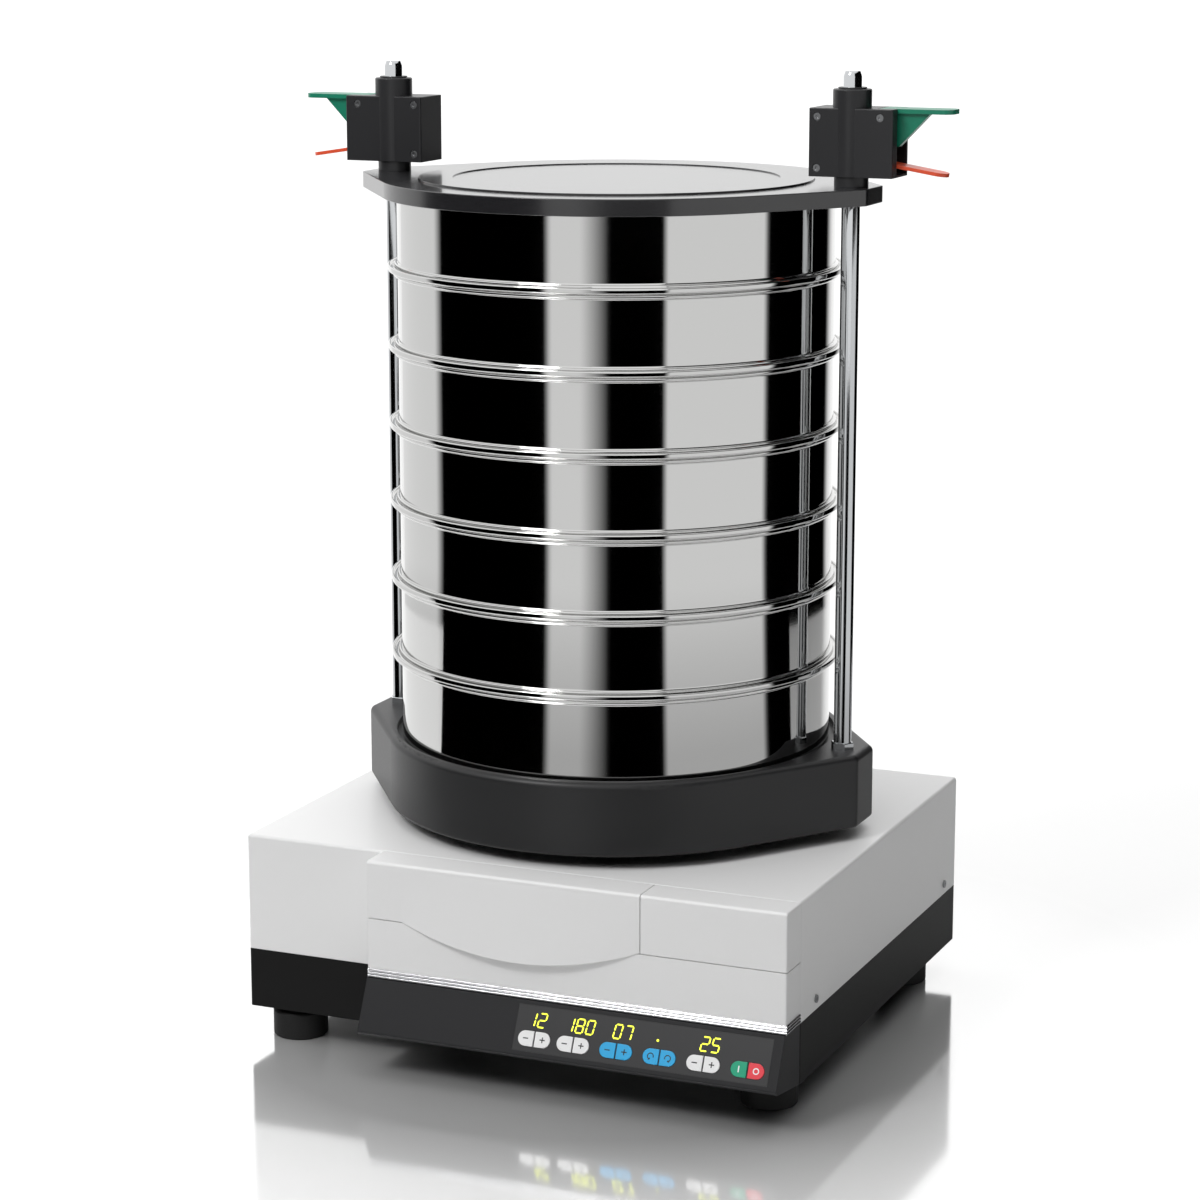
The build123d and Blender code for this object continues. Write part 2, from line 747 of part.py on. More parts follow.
def belt_pulley(x, y, radius, shaft_radius):
    # A flat belt pulley with a rim at each edge, bored for its shaft.
    ring(x, y, pulley_bottom_z, radius, shaft_radius, pulley_height)
    ring(x, y, pulley_bottom_z, radius + pulley_rim, radius - 1, pulley_rim)
    ring(x, y, pulley_top_z - pulley_rim, radius + pulley_rim, radius - 1, pulley_rim)


with BuildPart() as crank_pulley:
    belt_pulley(0, shaft_y, crank_pulley_radius, main_shaft_radius)
    with BuildSketch(Plane.XY.offset(pulley_bottom_z)):
        with Locations((0, shaft_y)):
            with PolarLocations(crank_pulley_radius * 0.58, 5):
                Circle(crank_pulley_radius * 0.2)
    extrude(amount=pulley_height, mode=Mode.SUBTRACT)
save(crank_pulley, "crank_pulley")

with BuildPart() as counterweight:
    with BuildSketch(Plane.XY.offset(web_bottom_z)):
        with Locations(Location((0, shaft_y, 0), (0, 0, rest_phase_deg + 180))):
            Circle(counterweight_radius)
            wedge_half = math.radians(90 - counterweight_angle / 2)
            far = 2 * counterweight_radius
            Polygon(
                (0, 0), (far * math.sin(wedge_half), far * math.cos(wedge_half)), (-far, far),
                (-far, -far), (far * math.sin(wedge_half), -far * math.cos(wedge_half)),
                align=None, mode=Mode.SUBTRACT,
            )
            Circle(main_web_radius, mode=Mode.SUBTRACT)
    extrude(amount=web_thickness)
save(counterweight, "counterweight")

# Idler cranks
for number, (spot_x, spot_y) in enumerate(idler_spots, start=1):
    with BuildPart() as idler_crank:
        crank(
            spot_x, shaft_y + spot_y, bridge_boss_bottom_z, idler_shaft_radius,
            idler_pin_radius, idler_web_radius, idler_web_end_radius,
        )
        chamfer(idler_crank.faces().sort_by(Axis.Z)[-1].edges(), 0.8)
    save(idler_crank, f"idler_crank_{number}")

# Motor on the tray's floor, its pulley and the belt
motor_top_z = pulley_bottom_z - 6.0
with BuildPart() as drive_motor:
    with BuildSketch(Plane.XY.offset(tray_floor_z)):
        with Locations((-motor_distance, shaft_y)):
            RectangleRounded(2 * motor_radius + 16, 2 * motor_radius + 16, 8)
    extrude(amount=6)
    post(-motor_distance, shaft_y, tray_floor_z + 6, motor_top_z, motor_radius)
    fillet(drive_motor.faces().sort_by(Axis.Z)[-1].edges(), 4)
    with BuildSketch(Plane.XY.offset(tray_floor_z + 14)):
        with Locations((-motor_distance, shaft_y)):
            with PolarLocations(motor_radius + 1, 16):
                Rectangle(5, 2.4)
    extrude(amount=motor_top_z - tray_floor_z - 30)
save(drive_motor, "drive_motor")

with BuildPart() as motor_pulley:
    belt_pulley(-motor_distance, shaft_y, motor_pulley_radius, motor_shaft_radius)
    post(-motor_distance, shaft_y, motor_top_z, pulley_top_z + 2, motor_shaft_radius)
save(motor_pulley, "motor_pulley")

belt_lean = math.asin((crank_pulley_radius - motor_pulley_radius) / motor_distance)


def belt_outline(grow):
    # The belt's closed line round both pulleys, as straight runs tangent to two arcs.
    big = crank_pulley_radius + grow
    small = motor_pulley_radius + grow
    big_x = -big * math.sin(belt_lean)
    big_y = big * math.cos(belt_lean)
    small_x = -motor_distance - small * math.sin(belt_lean)
    small_y = small * math.cos(belt_lean)
    with BuildLine() as run:
        Line((small_x, small_y), (big_x, big_y))
        ThreePointArc((big_x, big_y), (big, 0), (big_x, -big_y))
        Line((big_x, -big_y), (small_x, -small_y))
        ThreePointArc((small_x, -small_y), (-motor_distance - small, 0), (small_x, small_y))
    return run.edges()


belt_inset = pulley_rim + 0.5
with BuildPart() as drive_belt:
    with BuildSketch(Plane((0, shaft_y, pulley_bottom_z + belt_inset))):
        make_face(belt_outline(belt_clearance + belt_thickness))
        make_face(belt_outline(belt_clearance), mode=Mode.SUBTRACT)
    extrude(amount=pulley_height - 2 * belt_inset)
save(drive_belt, "drive_belt")

# Motor controller: a finned box on the tray's floor
controller_x = 170.0
controller_width = 110.0
controller_length = 130.0
controller_height = 46.0
fin_height = 22.0
fin_thickness = 2.0
fin_pitch = 10.0
with BuildPart() as motor_controller:
    with BuildSketch(Plane.XY.offset(tray_floor_z)):
        with Locations((controller_x, shaft_y)):
            Rectangle(controller_width, controller_length)
    extrude(amount=controller_height)
    with BuildSketch(Plane.XY.offset(tray_floor_z + controller_height)):
        with Locations((controller_x, shaft_y)):
            with GridLocations(fin_pitch, 0, int((controller_width - fin_thickness) / fin_pitch), 1):
                Rectangle(fin_thickness, controller_length)
    extrude(amount=fin_height)
save(motor_controller, "motor_controller")

# Back panel: mains inlet with three pins, frame of the switch and a serial socket
socket_z = chassis_bottom_z + chassis_height / 2
with BuildPart() as rear_connectors:
    with BuildSketch(Plane.XZ.offset(-back_y)):
        with Locations((inlet_x, socket_z)):
            RectangleRounded(inlet_width, inlet_height, 3)
    extrude(amount=-inlet_proud)
    with BuildSketch(Plane.XZ.offset(-back_y)):
        with Locations((inlet_x, socket_z)):
            Rectangle(inlet_width - 7, inlet_height - 7)
    extrude(amount=inlet_depth)
    with BuildSketch(Plane.XZ.offset(-back_y - inlet_proud)):
        with Locations((inlet_x, socket_z)):
            Rectangle(inlet_width - 22, inlet_height - 12)
    extrude(amount=inlet_depth - 3, mode=Mode.SUBTRACT)
    with BuildSketch(Plane.XZ.offset(-back_y - inlet_proud + inlet_depth - 3)):
        with Locations((inlet_x, socket_z)):
            with Locations((-7, -3), (0, 3), (7, -3)):
                Rectangle(2, 5)
    extrude(amount=-(inlet_depth - 7))
    with BuildSketch(Plane.XZ.offset(-back_y)):
        with Locations((switch_x, socket_z)):
            Rectangle(switch_width + 4, switch_height + 4)
            Rectangle(switch_width - 4, switch_height - 4, mode=Mode.SUBTRACT)
    extrude(amount=-inlet_proud)
    with BuildSketch(Plane.XZ.offset(-back_y)):
        with Locations((switch_x, socket_z)):
            Rectangle(switch_width - 0.4, switch_height - 0.4)
            Rectangle(switch_width - 4, switch_height - 4, mode=Mode.SUBTRACT)
    extrude(amount=16)
    with BuildSketch(Plane.XZ.offset(-back_y)):
        with Locations((serial_x, socket_z)):
            Rectangle(serial_width, serial_height)
    extrude(amount=-1)
    with BuildSketch(Plane.XZ.offset(-back_y)):
        with Locations((serial_x, socket_z)):
            Trapezoid(serial_width - 13, serial_height - 4, 80)
    extrude(amount=8)
    with BuildSketch(Plane.XZ.offset(-back_y - 1)):
        with Locations((serial_x, socket_z)):
            Trapezoid(serial_width - 15, serial_height - 6, 80)
    extrude(amount=6, mode=Mode.SUBTRACT)
save(rear_connectors, "rear_connectors")

# Rocker of the mains switch, tipped towards off
rocker_width = switch_width - 4.6
rocker_height = switch_height - 5.2
rocker_pivot_y = back_y - 4.0
rocker_plane = Plane(
    origin=(switch_x, rocker_pivot_y, socket_z),
    x_dir=(0, math.cos(math.radians(switch_tilt_deg)), math.sin(math.radians(switch_tilt_deg))),
    z_dir=(1, 0, 0),
)
with BuildPart() as mains_switch:
    with BuildSketch(rocker_plane.offset(-rocker_width / 2)):
        with BuildLine():
            Polyline(
                (-6, 0), (0, -rocker_height / 2 + 1), (6.5, -rocker_height / 2 + 0.4), (4.5, 0),
                (6.5, rocker_height / 2 - 0.4), (0, rocker_height / 2 - 1), (-6, 0),
            )
        make_face()
    extrude(amount=rocker_width)
save(mains_switch, "mains_switch")

# Platform: a cast shell with a shallow seat for the pan and bosses below its deck
deck_bottom_z = seat_z - platform_deck
platform_boss_drop = pin_bearing_height + 6.0
with BuildPart() as platform:
    extrude(eared_outline(platform_bottom_z), amount=platform_height)
    fillet(platform.faces().sort_by(Axis.Z)[-1].edges(), platform_edge_radius)
    fillet(platform.faces().sort_by(Axis.Z)[0].edges(), 3.5)
    bore(platform_x, platform_y, seat_z, platform_top_z + 1, seat_recess_radius)
    pocket = eared_outline(platform_bottom_z, inset=platform_wall)
    extrude(pocket, amount=deck_bottom_z - platform_bottom_z, mode=Mode.SUBTRACT)
    post(
        platform_x, platform_y, deck_bottom_z - platform_boss_drop, deck_bottom_z,
        pin_bearing_radius + boss_wall,
    )
    for spot_x, spot_y in idler_spots:
        post(
            platform_x + spot_x, platform_y + spot_y, deck_bottom_z - platform_boss_drop, deck_bottom_z,
            idler_pin_bearing_radius + boss_wall,
        )
    for angle in idler_angles:
        rib_plane = Plane(
            origin=(platform_x, platform_y, deck_bottom_z),
            x_dir=(math.cos(math.radians(angle)), math.sin(math.radians(angle)), 0),
            z_dir=(0, 0, -1),
        )
        with BuildSketch(rib_plane):
            with Locations((platform_radius / 2, 0)):
                Rectangle(platform_radius - platform_wall, 8)
        extrude(amount=platform_boss_drop / 2)
    for side in (-1, 1):
        post(
            platform_x + side * rod_spacing / 2, platform_y,
            platform_top_z - rod_seat_depth - 4, deck_bottom_z + 1, rod_boss_radius,
        )
        bore(
            platform_x + side * rod_spacing / 2, platform_y,
            platform_top_z - rod_seat_depth, platform_top_z + 1, rod_radius,
        )
    boss_bottom = deck_bottom_z - platform_boss_drop
    bore(platform_x, platform_y, boss_bottom - 1, boss_bottom + pin_bearing_height, pin_bearing_radius)
    bore(platform_x, platform_y, boss_bottom, pin_top_z + 2, crank_pin_radius + 3)
    for spot_x, spot_y in idler_spots:
        bore(
            platform_x + spot_x, platform_y + spot_y, boss_bottom - 1,
            boss_bottom + idler_pin_bearing_height, idler_pin_bearing_radius,
        )
        bore(
            platform_x + spot_x, platform_y + spot_y, boss_bottom, pin_top_z + 2, idler_pin_radius + 2,
        )
save(platform, "platform")

with BuildPart() as platform_bearings:
    ring(
        platform_x, platform_y, boss_bottom, pin_bearing_radius,
        crank_pin_radius + running_clearance, pin_bearing_height,
    )
    for spot_x, spot_y in idler_spots:
        ring(
            platform_x + spot_x, platform_y + spot_y, boss_bottom, idler_pin_bearing_radius,
            idler_pin_radius + running_clearance, idler_pin_bearing_height,
        )
save(platform_bearings, "platform_bearings")

# Tie rods and the nuts at their feet
with BuildPart() as tie_rods:
    for side in (-1, 1):
        post(
            platform_x + side * rod_spacing / 2, platform_y,
            platform_top_z - rod_seat_depth, rod_top_z - rod_tip_chamfer_length, rod_radius,
        )
        tip_spot = (platform_x + side * rod_spacing / 2, platform_y, rod_top_z - rod_tip_chamfer_length)
        with Locations(tip_spot):
            Cone(rod_radius, rod_radius - rod_tip_chamfer, rod_tip_chamfer_length, align=at_base)
save(tie_rods, "tie_rods")

with BuildPart() as rod_nuts:
    with BuildSketch(Plane.XY.offset(platform_top_z)):
        for side in (-1, 1):
            with Locations((platform_x + side * rod_spacing / 2, platform_y)):
                RegularPolygon(nut_across_flats / 2, 6, major_radius=False)
                Circle(rod_radius, mode=Mode.SUBTRACT)
    extrude(amount=nut_height)
    chamfer(rod_nuts.edges().filter_by(GeomType.LINE).group_by(Axis.Z)[-1], 0.6)
save(rod_nuts, "rod_nuts")

# Profiles of the stack, as radius and height
inner_radius = wall_radius - sheet
bead_radius = wall_radius + bead_proud
bead_round = bead_height / 2


def bead_line(top):
    # The rolled bead at the upper edge, from the outside of the wall to its inside.
    Line((wall_radius, top - bead_height - 0.8), (bead_radius - bead_round, top - bead_height))
    ThreePointArc(
        (bead_radius - bead_round, top - bead_height),
        (bead_radius, top - bead_round),
        (bead_radius - bead_round, top),
    )
    Line((bead_radius - bead_round, top), (inner_radius, top))


stack_axis = Axis((platform_x, platform_y, 0), (0, 0, 1))
stack_plane = Plane(origin=(platform_x, platform_y, 0), x_dir=(1, 0, 0), z_dir=(0, -1, 0))

# Collecting pan
with BuildPart() as collecting_pan:
    with BuildSketch(stack_plane):
        with BuildLine():
            corner_x = wall_radius - pan_corner_radius
            corner_z = seat_z + pan_corner_radius
            outer_turn = pan_corner_radius * math.sqrt(0.5)
            inner_turn = (pan_corner_radius - sheet) * math.sqrt(0.5)
            Line((0, seat_z), (corner_x, seat_z))
            ThreePointArc(
                (corner_x, seat_z),
                (corner_x + outer_turn, corner_z - outer_turn),
                (wall_radius, corner_z),
            )
            Line((wall_radius, corner_z), (wall_radius, pan_top_z - bead_height - 0.8))
            bead_line(pan_top_z)
            Line((inner_radius, pan_top_z), (inner_radius, corner_z))
            ThreePointArc(
                (inner_radius, corner_z),
                (corner_x + inner_turn, corner_z - inner_turn),
                (corner_x, seat_z + sheet),
            )
            Polyline((corner_x, seat_z + sheet), (0, seat_z + sheet), (0, seat_z))
        make_face()
    revolve(axis=stack_axis)
save(collecting_pan, "collecting_pan")

# Sieves, numbered from the top. Each frame has a rolled bead above, and below it a flange
# with a raised lip, and a skirt that enters the next frame. The wire cloth is soldered in.
skirt_radius = inner_radius - skirt_clearance
flange_radius = wall_radius + flange_proud
step_radius = wall_radius + flange_step_proud
groove_radius = flange_radius - flange_lip
lip_round = flange_lip / 2
for number in range(1, sieve_count + 1):
    floor = pan_top_z + (sieve_count - number) * sieve_pitch
    top = floor + sieve_pitch
    with BuildPart() as sieve:
        with BuildSketch(stack_plane):
            with BuildLine():
                Polyline(
                    (skirt_radius - sheet, floor - skirt_depth),
                    (skirt_radius, floor - skirt_depth),
                    (skirt_radius, floor),
                    (flange_radius - 1.2, floor),
                    (flange_radius, floor + 1.2),
                    (flange_radius, floor + flange_height - lip_round),
                )
                ThreePointArc(
                    (flange_radius, floor + flange_height - lip_round),
                    (flange_radius - lip_round, floor + flange_height),
                    (groove_radius, floor + flange_height - lip_round),
                )
                Polyline(
                    (groove_radius, floor + flange_height - lip_round),
                    (groove_radius - 0.6, floor + flange_groove_height),
                    (step_radius + 0.6, floor + flange_groove_height),
                    (step_radius, floor + flange_step_height - 1),
                    (wall_radius, floor + flange_step_height),
                    (wall_radius, top - bead_height - 0.8),
                )
                bead_line(top)
                Polyline(
                    (inner_radius, top),
                    (inner_radius, floor + cloth_height),
                    (skirt_radius - sheet, floor + cloth_height),
                    (skirt_radius - sheet, floor - skirt_depth),
                )
            make_face()
        revolve(axis=stack_axis)
        cloth_floor = floor + cloth_height
        with BuildSketch(Plane.XY.offset(cloth_floor)):
            with Locations((platform_x, platform_y)):
                Circle(inner_radius - 0.05)
        extrude(amount=cloth_thickness)
    save(sieve, f"sieve_{number}")

# Clamping plate, with a ring recess that sits over the bead of the top sieve
with BuildPart() as clamp_plate:
    extrude(eared_outline(plate_bottom_z), amount=plate_thickness)
    fillet(clamp_plate.faces().sort_by(Axis.Z)[-1].edges(), plate_edge_radius)
    fillet(clamp_plate.faces().sort_by(Axis.Z)[0].edges(), plate_edge_radius)
    bore(
        platform_x, platform_y, plate_bottom_z - 1, stack_top_z + lid_flange_thickness,
        bead_radius + bead_clearance,
    )
    bore(platform_x, platform_y, stack_top_z, plate_top_z + 1, lid_radius + lid_clearance)
    for side in (-1, 1):
        bore(
            platform_x + side * rod_spacing / 2, platform_y, plate_bottom_z - 1, plate_top_z + 1,
            rod_radius + rod_bore_clearance,
        )
save(clamp_plate, "clamp_plate")

with BuildPart() as lid_disc:
    post(platform_x, platform_y, stack_top_z, stack_top_z + lid_flange_thickness, lid_flange_radius)
    post(platform_x, platform_y, stack_top_z, plate_top_z + lid_proud, lid_radius)
    bore(
        platform_x, platform_y, plate_top_z + lid_proud - lid_recess_depth, plate_top_z + lid_proud + 1,
        lid_recess_radius,
    )
save(lid_disc, "lid_disc")

# Right-hand clamping unit. Places in it are measured outwards from the rod's axis.
block_front_y = platform_y - block_front
slot_front_y = block_front_y + slot_front_wall
slot_mid_y = slot_front_y + slot_width / 2
block_end_x = rod_x + block_outer
pin_x = block_end_x - lever_pin_from_end
pin_z = block_top_z - lever_pin_down
release_slope = math.tan(math.radians(release_tilt_deg))
release_end_z = block_bottom_z + release_up_at_end
hinge_x = rod_x - release_hinge_x
hinge_z = release_end_z + (release_hinge_x + block_outer) * release_slope
screw_spots = [
    (rod_x - block_inner + block_screw_inset, block_top_z - block_screw_inset),
    (rod_x - block_inner + block_screw_inset, block_bottom_z + block_screw_inset),
]
with BuildPart() as right_clamp_body:
    with BuildSketch(Plane.XY.offset(block_bottom_z)):
        with Locations((rod_x + (block_outer - block_inner) / 2, block_front_y + block_thickness / 2)):
            Rectangle(block_inner + block_outer, block_thickness)
    extrude(amount=block_height)
    fillet(right_clamp_body.edges().filter_by(Axis.Z), block_edge_radius)
    chamfer(right_clamp_body.faces().sort_by(Axis.Z)[-1].edges(), 0.5)
    post(rod_x, platform_y, block_bottom_z, block_top_z - 1.5, collar_radius)
    post(rod_x, platform_y, block_top_z - 2, collar_top_z, collar_radius)
    chamfer(right_clamp_body.faces().sort_by(Axis.Z)[-1].edges(), 0.8)
    post(rod_x, platform_y, collar_top_z - 1, collar_top_z + collar_ring_height, collar_ring_radius)
    post(rod_x, platform_y, plate_top_z, block_bottom_z + 1, sleeve_radius)
    slot_floor_z = block_bottom_z + slot_floor
    slot_roof_z = block_top_z - slot_roof
    with BuildSketch(Plane.XZ.offset(-slot_front_y)):
        with BuildLine():
            Polyline(
                (rod_x + slot_inner_x, slot_floor_z),
                (block_end_x + 1, slot_floor_z),
                (block_end_x + 1, block_top_z + 1),
                (rod_x + roof_opening_x, block_top_z + 1),
                (rod_x + roof_opening_x, slot_roof_z),
                (rod_x + slot_inner_x, slot_roof_z),
                (rod_x + slot_inner_x, slot_floor_z),
            )
        make_face()
    extrude(amount=-slot_width, mode=Mode.SUBTRACT)
    cavity_front_y = platform_y - release_front - 1
    cavity_back_y = slot_front_y + slot_width
    cavity_left_x = hinge_x - 1.5
    with BuildSketch(Plane.XY.offset(slot_floor_z)):
        with Locations(((cavity_left_x + block_end_x - 4) / 2, (cavity_front_y + cavity_back_y) / 2)):
            Rectangle(block_end_x - 4 - cavity_left_x, cavity_back_y - cavity_front_y)
    extrude(amount=release_cavity_height, mode=Mode.SUBTRACT)
    bore(rod_x, platform_y, plate_top_z - 1, collar_top_z + 5, rod_radius + rod_bore_clearance)
    with BuildSketch(Plane.XZ.offset(-block_front_y)):
        with Locations((pin_x, pin_z)):
            Circle(lever_pin_radius)
    extrude(amount=-(block_thickness - 1), mode=Mode.SUBTRACT)
    with BuildSketch(Plane.XZ.offset(-block_front_y)):
        with Locations((pin_x, pin_z), *screw_spots):
            Circle(block_screw_head_radius + 0.2)
    extrude(amount=-block_screw_head_height, mode=Mode.SUBTRACT)
    with BuildSketch(Plane.XZ.offset(-block_front_y)):
        with Locations(*screw_spots):
            Circle(block_screw_radius)
    extrude(amount=-block_screw_length, mode=Mode.SUBTRACT)
save(right_clamp_body, "right_clamp_body")

# Screws of the units: two hold the halves together, the third is the lever's pivot
with BuildPart() as right_screws:
    head_plane = Plane.XZ.offset(-block_front_y - 0.4)
    with BuildSketch(head_plane):
        with Locations((pin_x, pin_z), *screw_spots):
            Circle(block_screw_head_radius)
            RegularPolygon(1.6, 6, mode=Mode.SUBTRACT)
    extrude(amount=-(block_screw_head_height - 0.4))
    with BuildSketch(Plane.XZ.offset(-block_front_y - block_screw_head_height + 0.4)):
        with Locations((pin_x, pin_z), *screw_spots):
            Circle(block_screw_head_radius)
    extrude(amount=-0.4)
    with BuildSketch(Plane.XZ.offset(-block_front_y - block_screw_head_height)):
        with Locations(*screw_spots):
            Circle(block_screw_radius)
    extrude(amount=-(block_screw_length - block_screw_head_height))
    with BuildSketch(Plane.XZ.offset(-block_front_y - block_screw_head_height)):
        with Locations((pin_x, pin_z)):
            Circle(lever_pin_radius)
    extrude(amount=-(block_thickness - 1 - block_screw_head_height))

# Clamping lever: a plate with a web below it and a hub on the pivot
lever_end_x = block_end_x + lever_reach
lever_half = slot_width / 2 - lever_clearance
lever_plate_z = block_top_z - lever_plate_thickness
web_tip_x = block_end_x + lever_web_reach
web_low_z = block_top_z - lever_web_depth
with BuildPart() as right_clamp_lever:
    with BuildSketch(Plane.XY.offset(lever_plate_z)):
        with Locations(((rod_x + roof_opening_x + 1 + lever_end_x) / 2, slot_mid_y)):
            Rectangle(lever_end_x - rod_x - roof_opening_x - 1, 2 * lever_half)
    extrude(amount=lever_plate_thickness)
    fillet(right_clamp_lever.edges().filter_by(Axis.Z).group_by(Axis.X)[-1], lever_corner_radius)
    with BuildSketch(Plane.XZ.offset(-(platform_y + lever_web_y - lever_web_thickness / 2))):
        with BuildLine():
            Polyline(
                (rod_x + roof_opening_x + 2, lever_plate_z + 1),
                (web_tip_x, lever_plate_z + 1),
                (web_tip_x - lever_plate_z + web_low_z, web_low_z),
                (rod_x + roof_opening_x + 2, web_low_z),
                (rod_x + roof_opening_x + 2, lever_plate_z + 1),
            )
        make_face()
    extrude(amount=-lever_web_thickness)
    with BuildSketch(Plane.XZ.offset(-(slot_mid_y - lever_half))):
        with Locations((pin_x, pin_z)):
            Circle(lever_hub_radius)
    extrude(amount=-2 * lever_half)
    with BuildSketch(Plane.XZ.offset(-(slot_mid_y - lever_half))):
        with Locations((pin_x, pin_z)):
            Circle(lever_pin_radius + running_clearance)
    extrude(amount=-2 * lever_half, mode=Mode.SUBTRACT)
save(right_clamp_lever, "right_clamp_lever")

# Release lever: a plate round the rod that grips it while it is tipped
release_plane = Plane(
    origin=(hinge_x, platform_y, hinge_z),
    x_dir=(math.cos(math.radians(release_tilt_deg)), 0, -math.sin(math.radians(release_tilt_deg))),
    z_dir=(math.sin(math.radians(release_tilt_deg)), 0, math.cos(math.radians(release_tilt_deg))),
)
release_length = (release_hinge_x + block_outer) / math.cos(math.radians(release_tilt_deg)) + release_reach
release_mid_y = slot_front_y - platform_y + 1 + release_width / 2
release_neck = release_hinge_x + block_outer - 8
with BuildPart() as right_release_lever:
    with BuildSketch(release_plane.offset(-release_thickness / 2)):
        with Locations((release_neck / 2, (release_mid_y + release_width / 2 - release_front) / 2)):
            Rectangle(release_neck, release_mid_y + release_width / 2 + release_front)
        with Locations(((release_length - release_width / 2) / 2, release_mid_y)):
            Rectangle(release_length - release_width / 2, release_width)
        with Locations((release_length - release_width / 2, release_mid_y)):
            Circle(release_width / 2)
        with Locations((release_hinge_x / math.cos(math.radians(release_tilt_deg)), 0)):
            Circle(rod_radius + release_hole_clearance, mode=Mode.SUBTRACT)
    extrude(amount=release_thickness)
save(right_release_lever, "right_release_lever")

# The left-hand unit is the mirror image
with BuildPart() as left_clamp_body:
    mirror(right_clamp_body.part, about=middle_plane)
save(left_clamp_body, "left_clamp_body")

with BuildPart() as clamp_screws:
    add(right_screws.part)
    mirror(right_screws.part, about=middle_plane)
save(clamp_screws, "clamp_screws")

with BuildPart() as left_clamp_lever:
    mirror(right_clamp_lever.part, about=middle_plane)
save(left_clamp_lever, "left_clamp_lever")

with BuildPart() as left_release_lever:
    mirror(right_release_lever.part, about=middle_plane)
save(left_release_lever, "left_release_lever")
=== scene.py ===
import bpy
import json
import math
from mathutils import Euler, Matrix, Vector


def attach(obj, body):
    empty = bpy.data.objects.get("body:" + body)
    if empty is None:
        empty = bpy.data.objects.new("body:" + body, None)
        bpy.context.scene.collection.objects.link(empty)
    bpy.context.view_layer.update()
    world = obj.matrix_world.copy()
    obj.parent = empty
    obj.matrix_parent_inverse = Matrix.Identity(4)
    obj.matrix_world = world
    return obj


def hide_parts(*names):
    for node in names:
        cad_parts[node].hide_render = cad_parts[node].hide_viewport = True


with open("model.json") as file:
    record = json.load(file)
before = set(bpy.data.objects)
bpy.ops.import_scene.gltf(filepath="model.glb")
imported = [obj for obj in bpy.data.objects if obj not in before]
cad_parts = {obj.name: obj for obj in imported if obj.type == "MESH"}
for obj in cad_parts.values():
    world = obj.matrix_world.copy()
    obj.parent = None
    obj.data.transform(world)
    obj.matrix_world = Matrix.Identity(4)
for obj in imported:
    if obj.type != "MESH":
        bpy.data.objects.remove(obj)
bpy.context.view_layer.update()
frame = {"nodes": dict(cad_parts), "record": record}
nodes = frame["nodes"]
mm = 0.001

# Places that the CAD fixes, in mm
stackCentre = (3.8823, 26.4889)
panFloor, panRim = 268.0, 346.5
sievePitch, sieveCount = 71.5, 6
rodSpread, rodFoot, rodTip = 225.0, 234.0, 887.0
panelOrigin = Vector((0.0, -232.5, 86.2))
panelAngle = math.atan2(21.0, 44.5)
panelDown = Vector((0, -math.sin(panelAngle), -math.cos(panelAngle)))
panelOut = Vector((0, -math.cos(panelAngle), math.sin(panelAngle)))


# Materials
def srgb(code):
    parts = [int(code[i:i + 2], 16) / 255 for i in (0, 2, 4)]
    return tuple(p / 12.92 if p <= 0.04045 else ((p + 0.055) / 1.055) ** 2.4 for p in parts) + (1.0,)


def addNode(tree, kind, spot, links=None, **values):
    # one node with its settings, and what feeds its sockets
    node = tree.nodes.new(kind)
    node.location = spot
    for key, value in values.items():
        setattr(node, key, value)
    for socket, source in (links or {}).items():
        tree.links.new(source, node.inputs[socket])
    return node


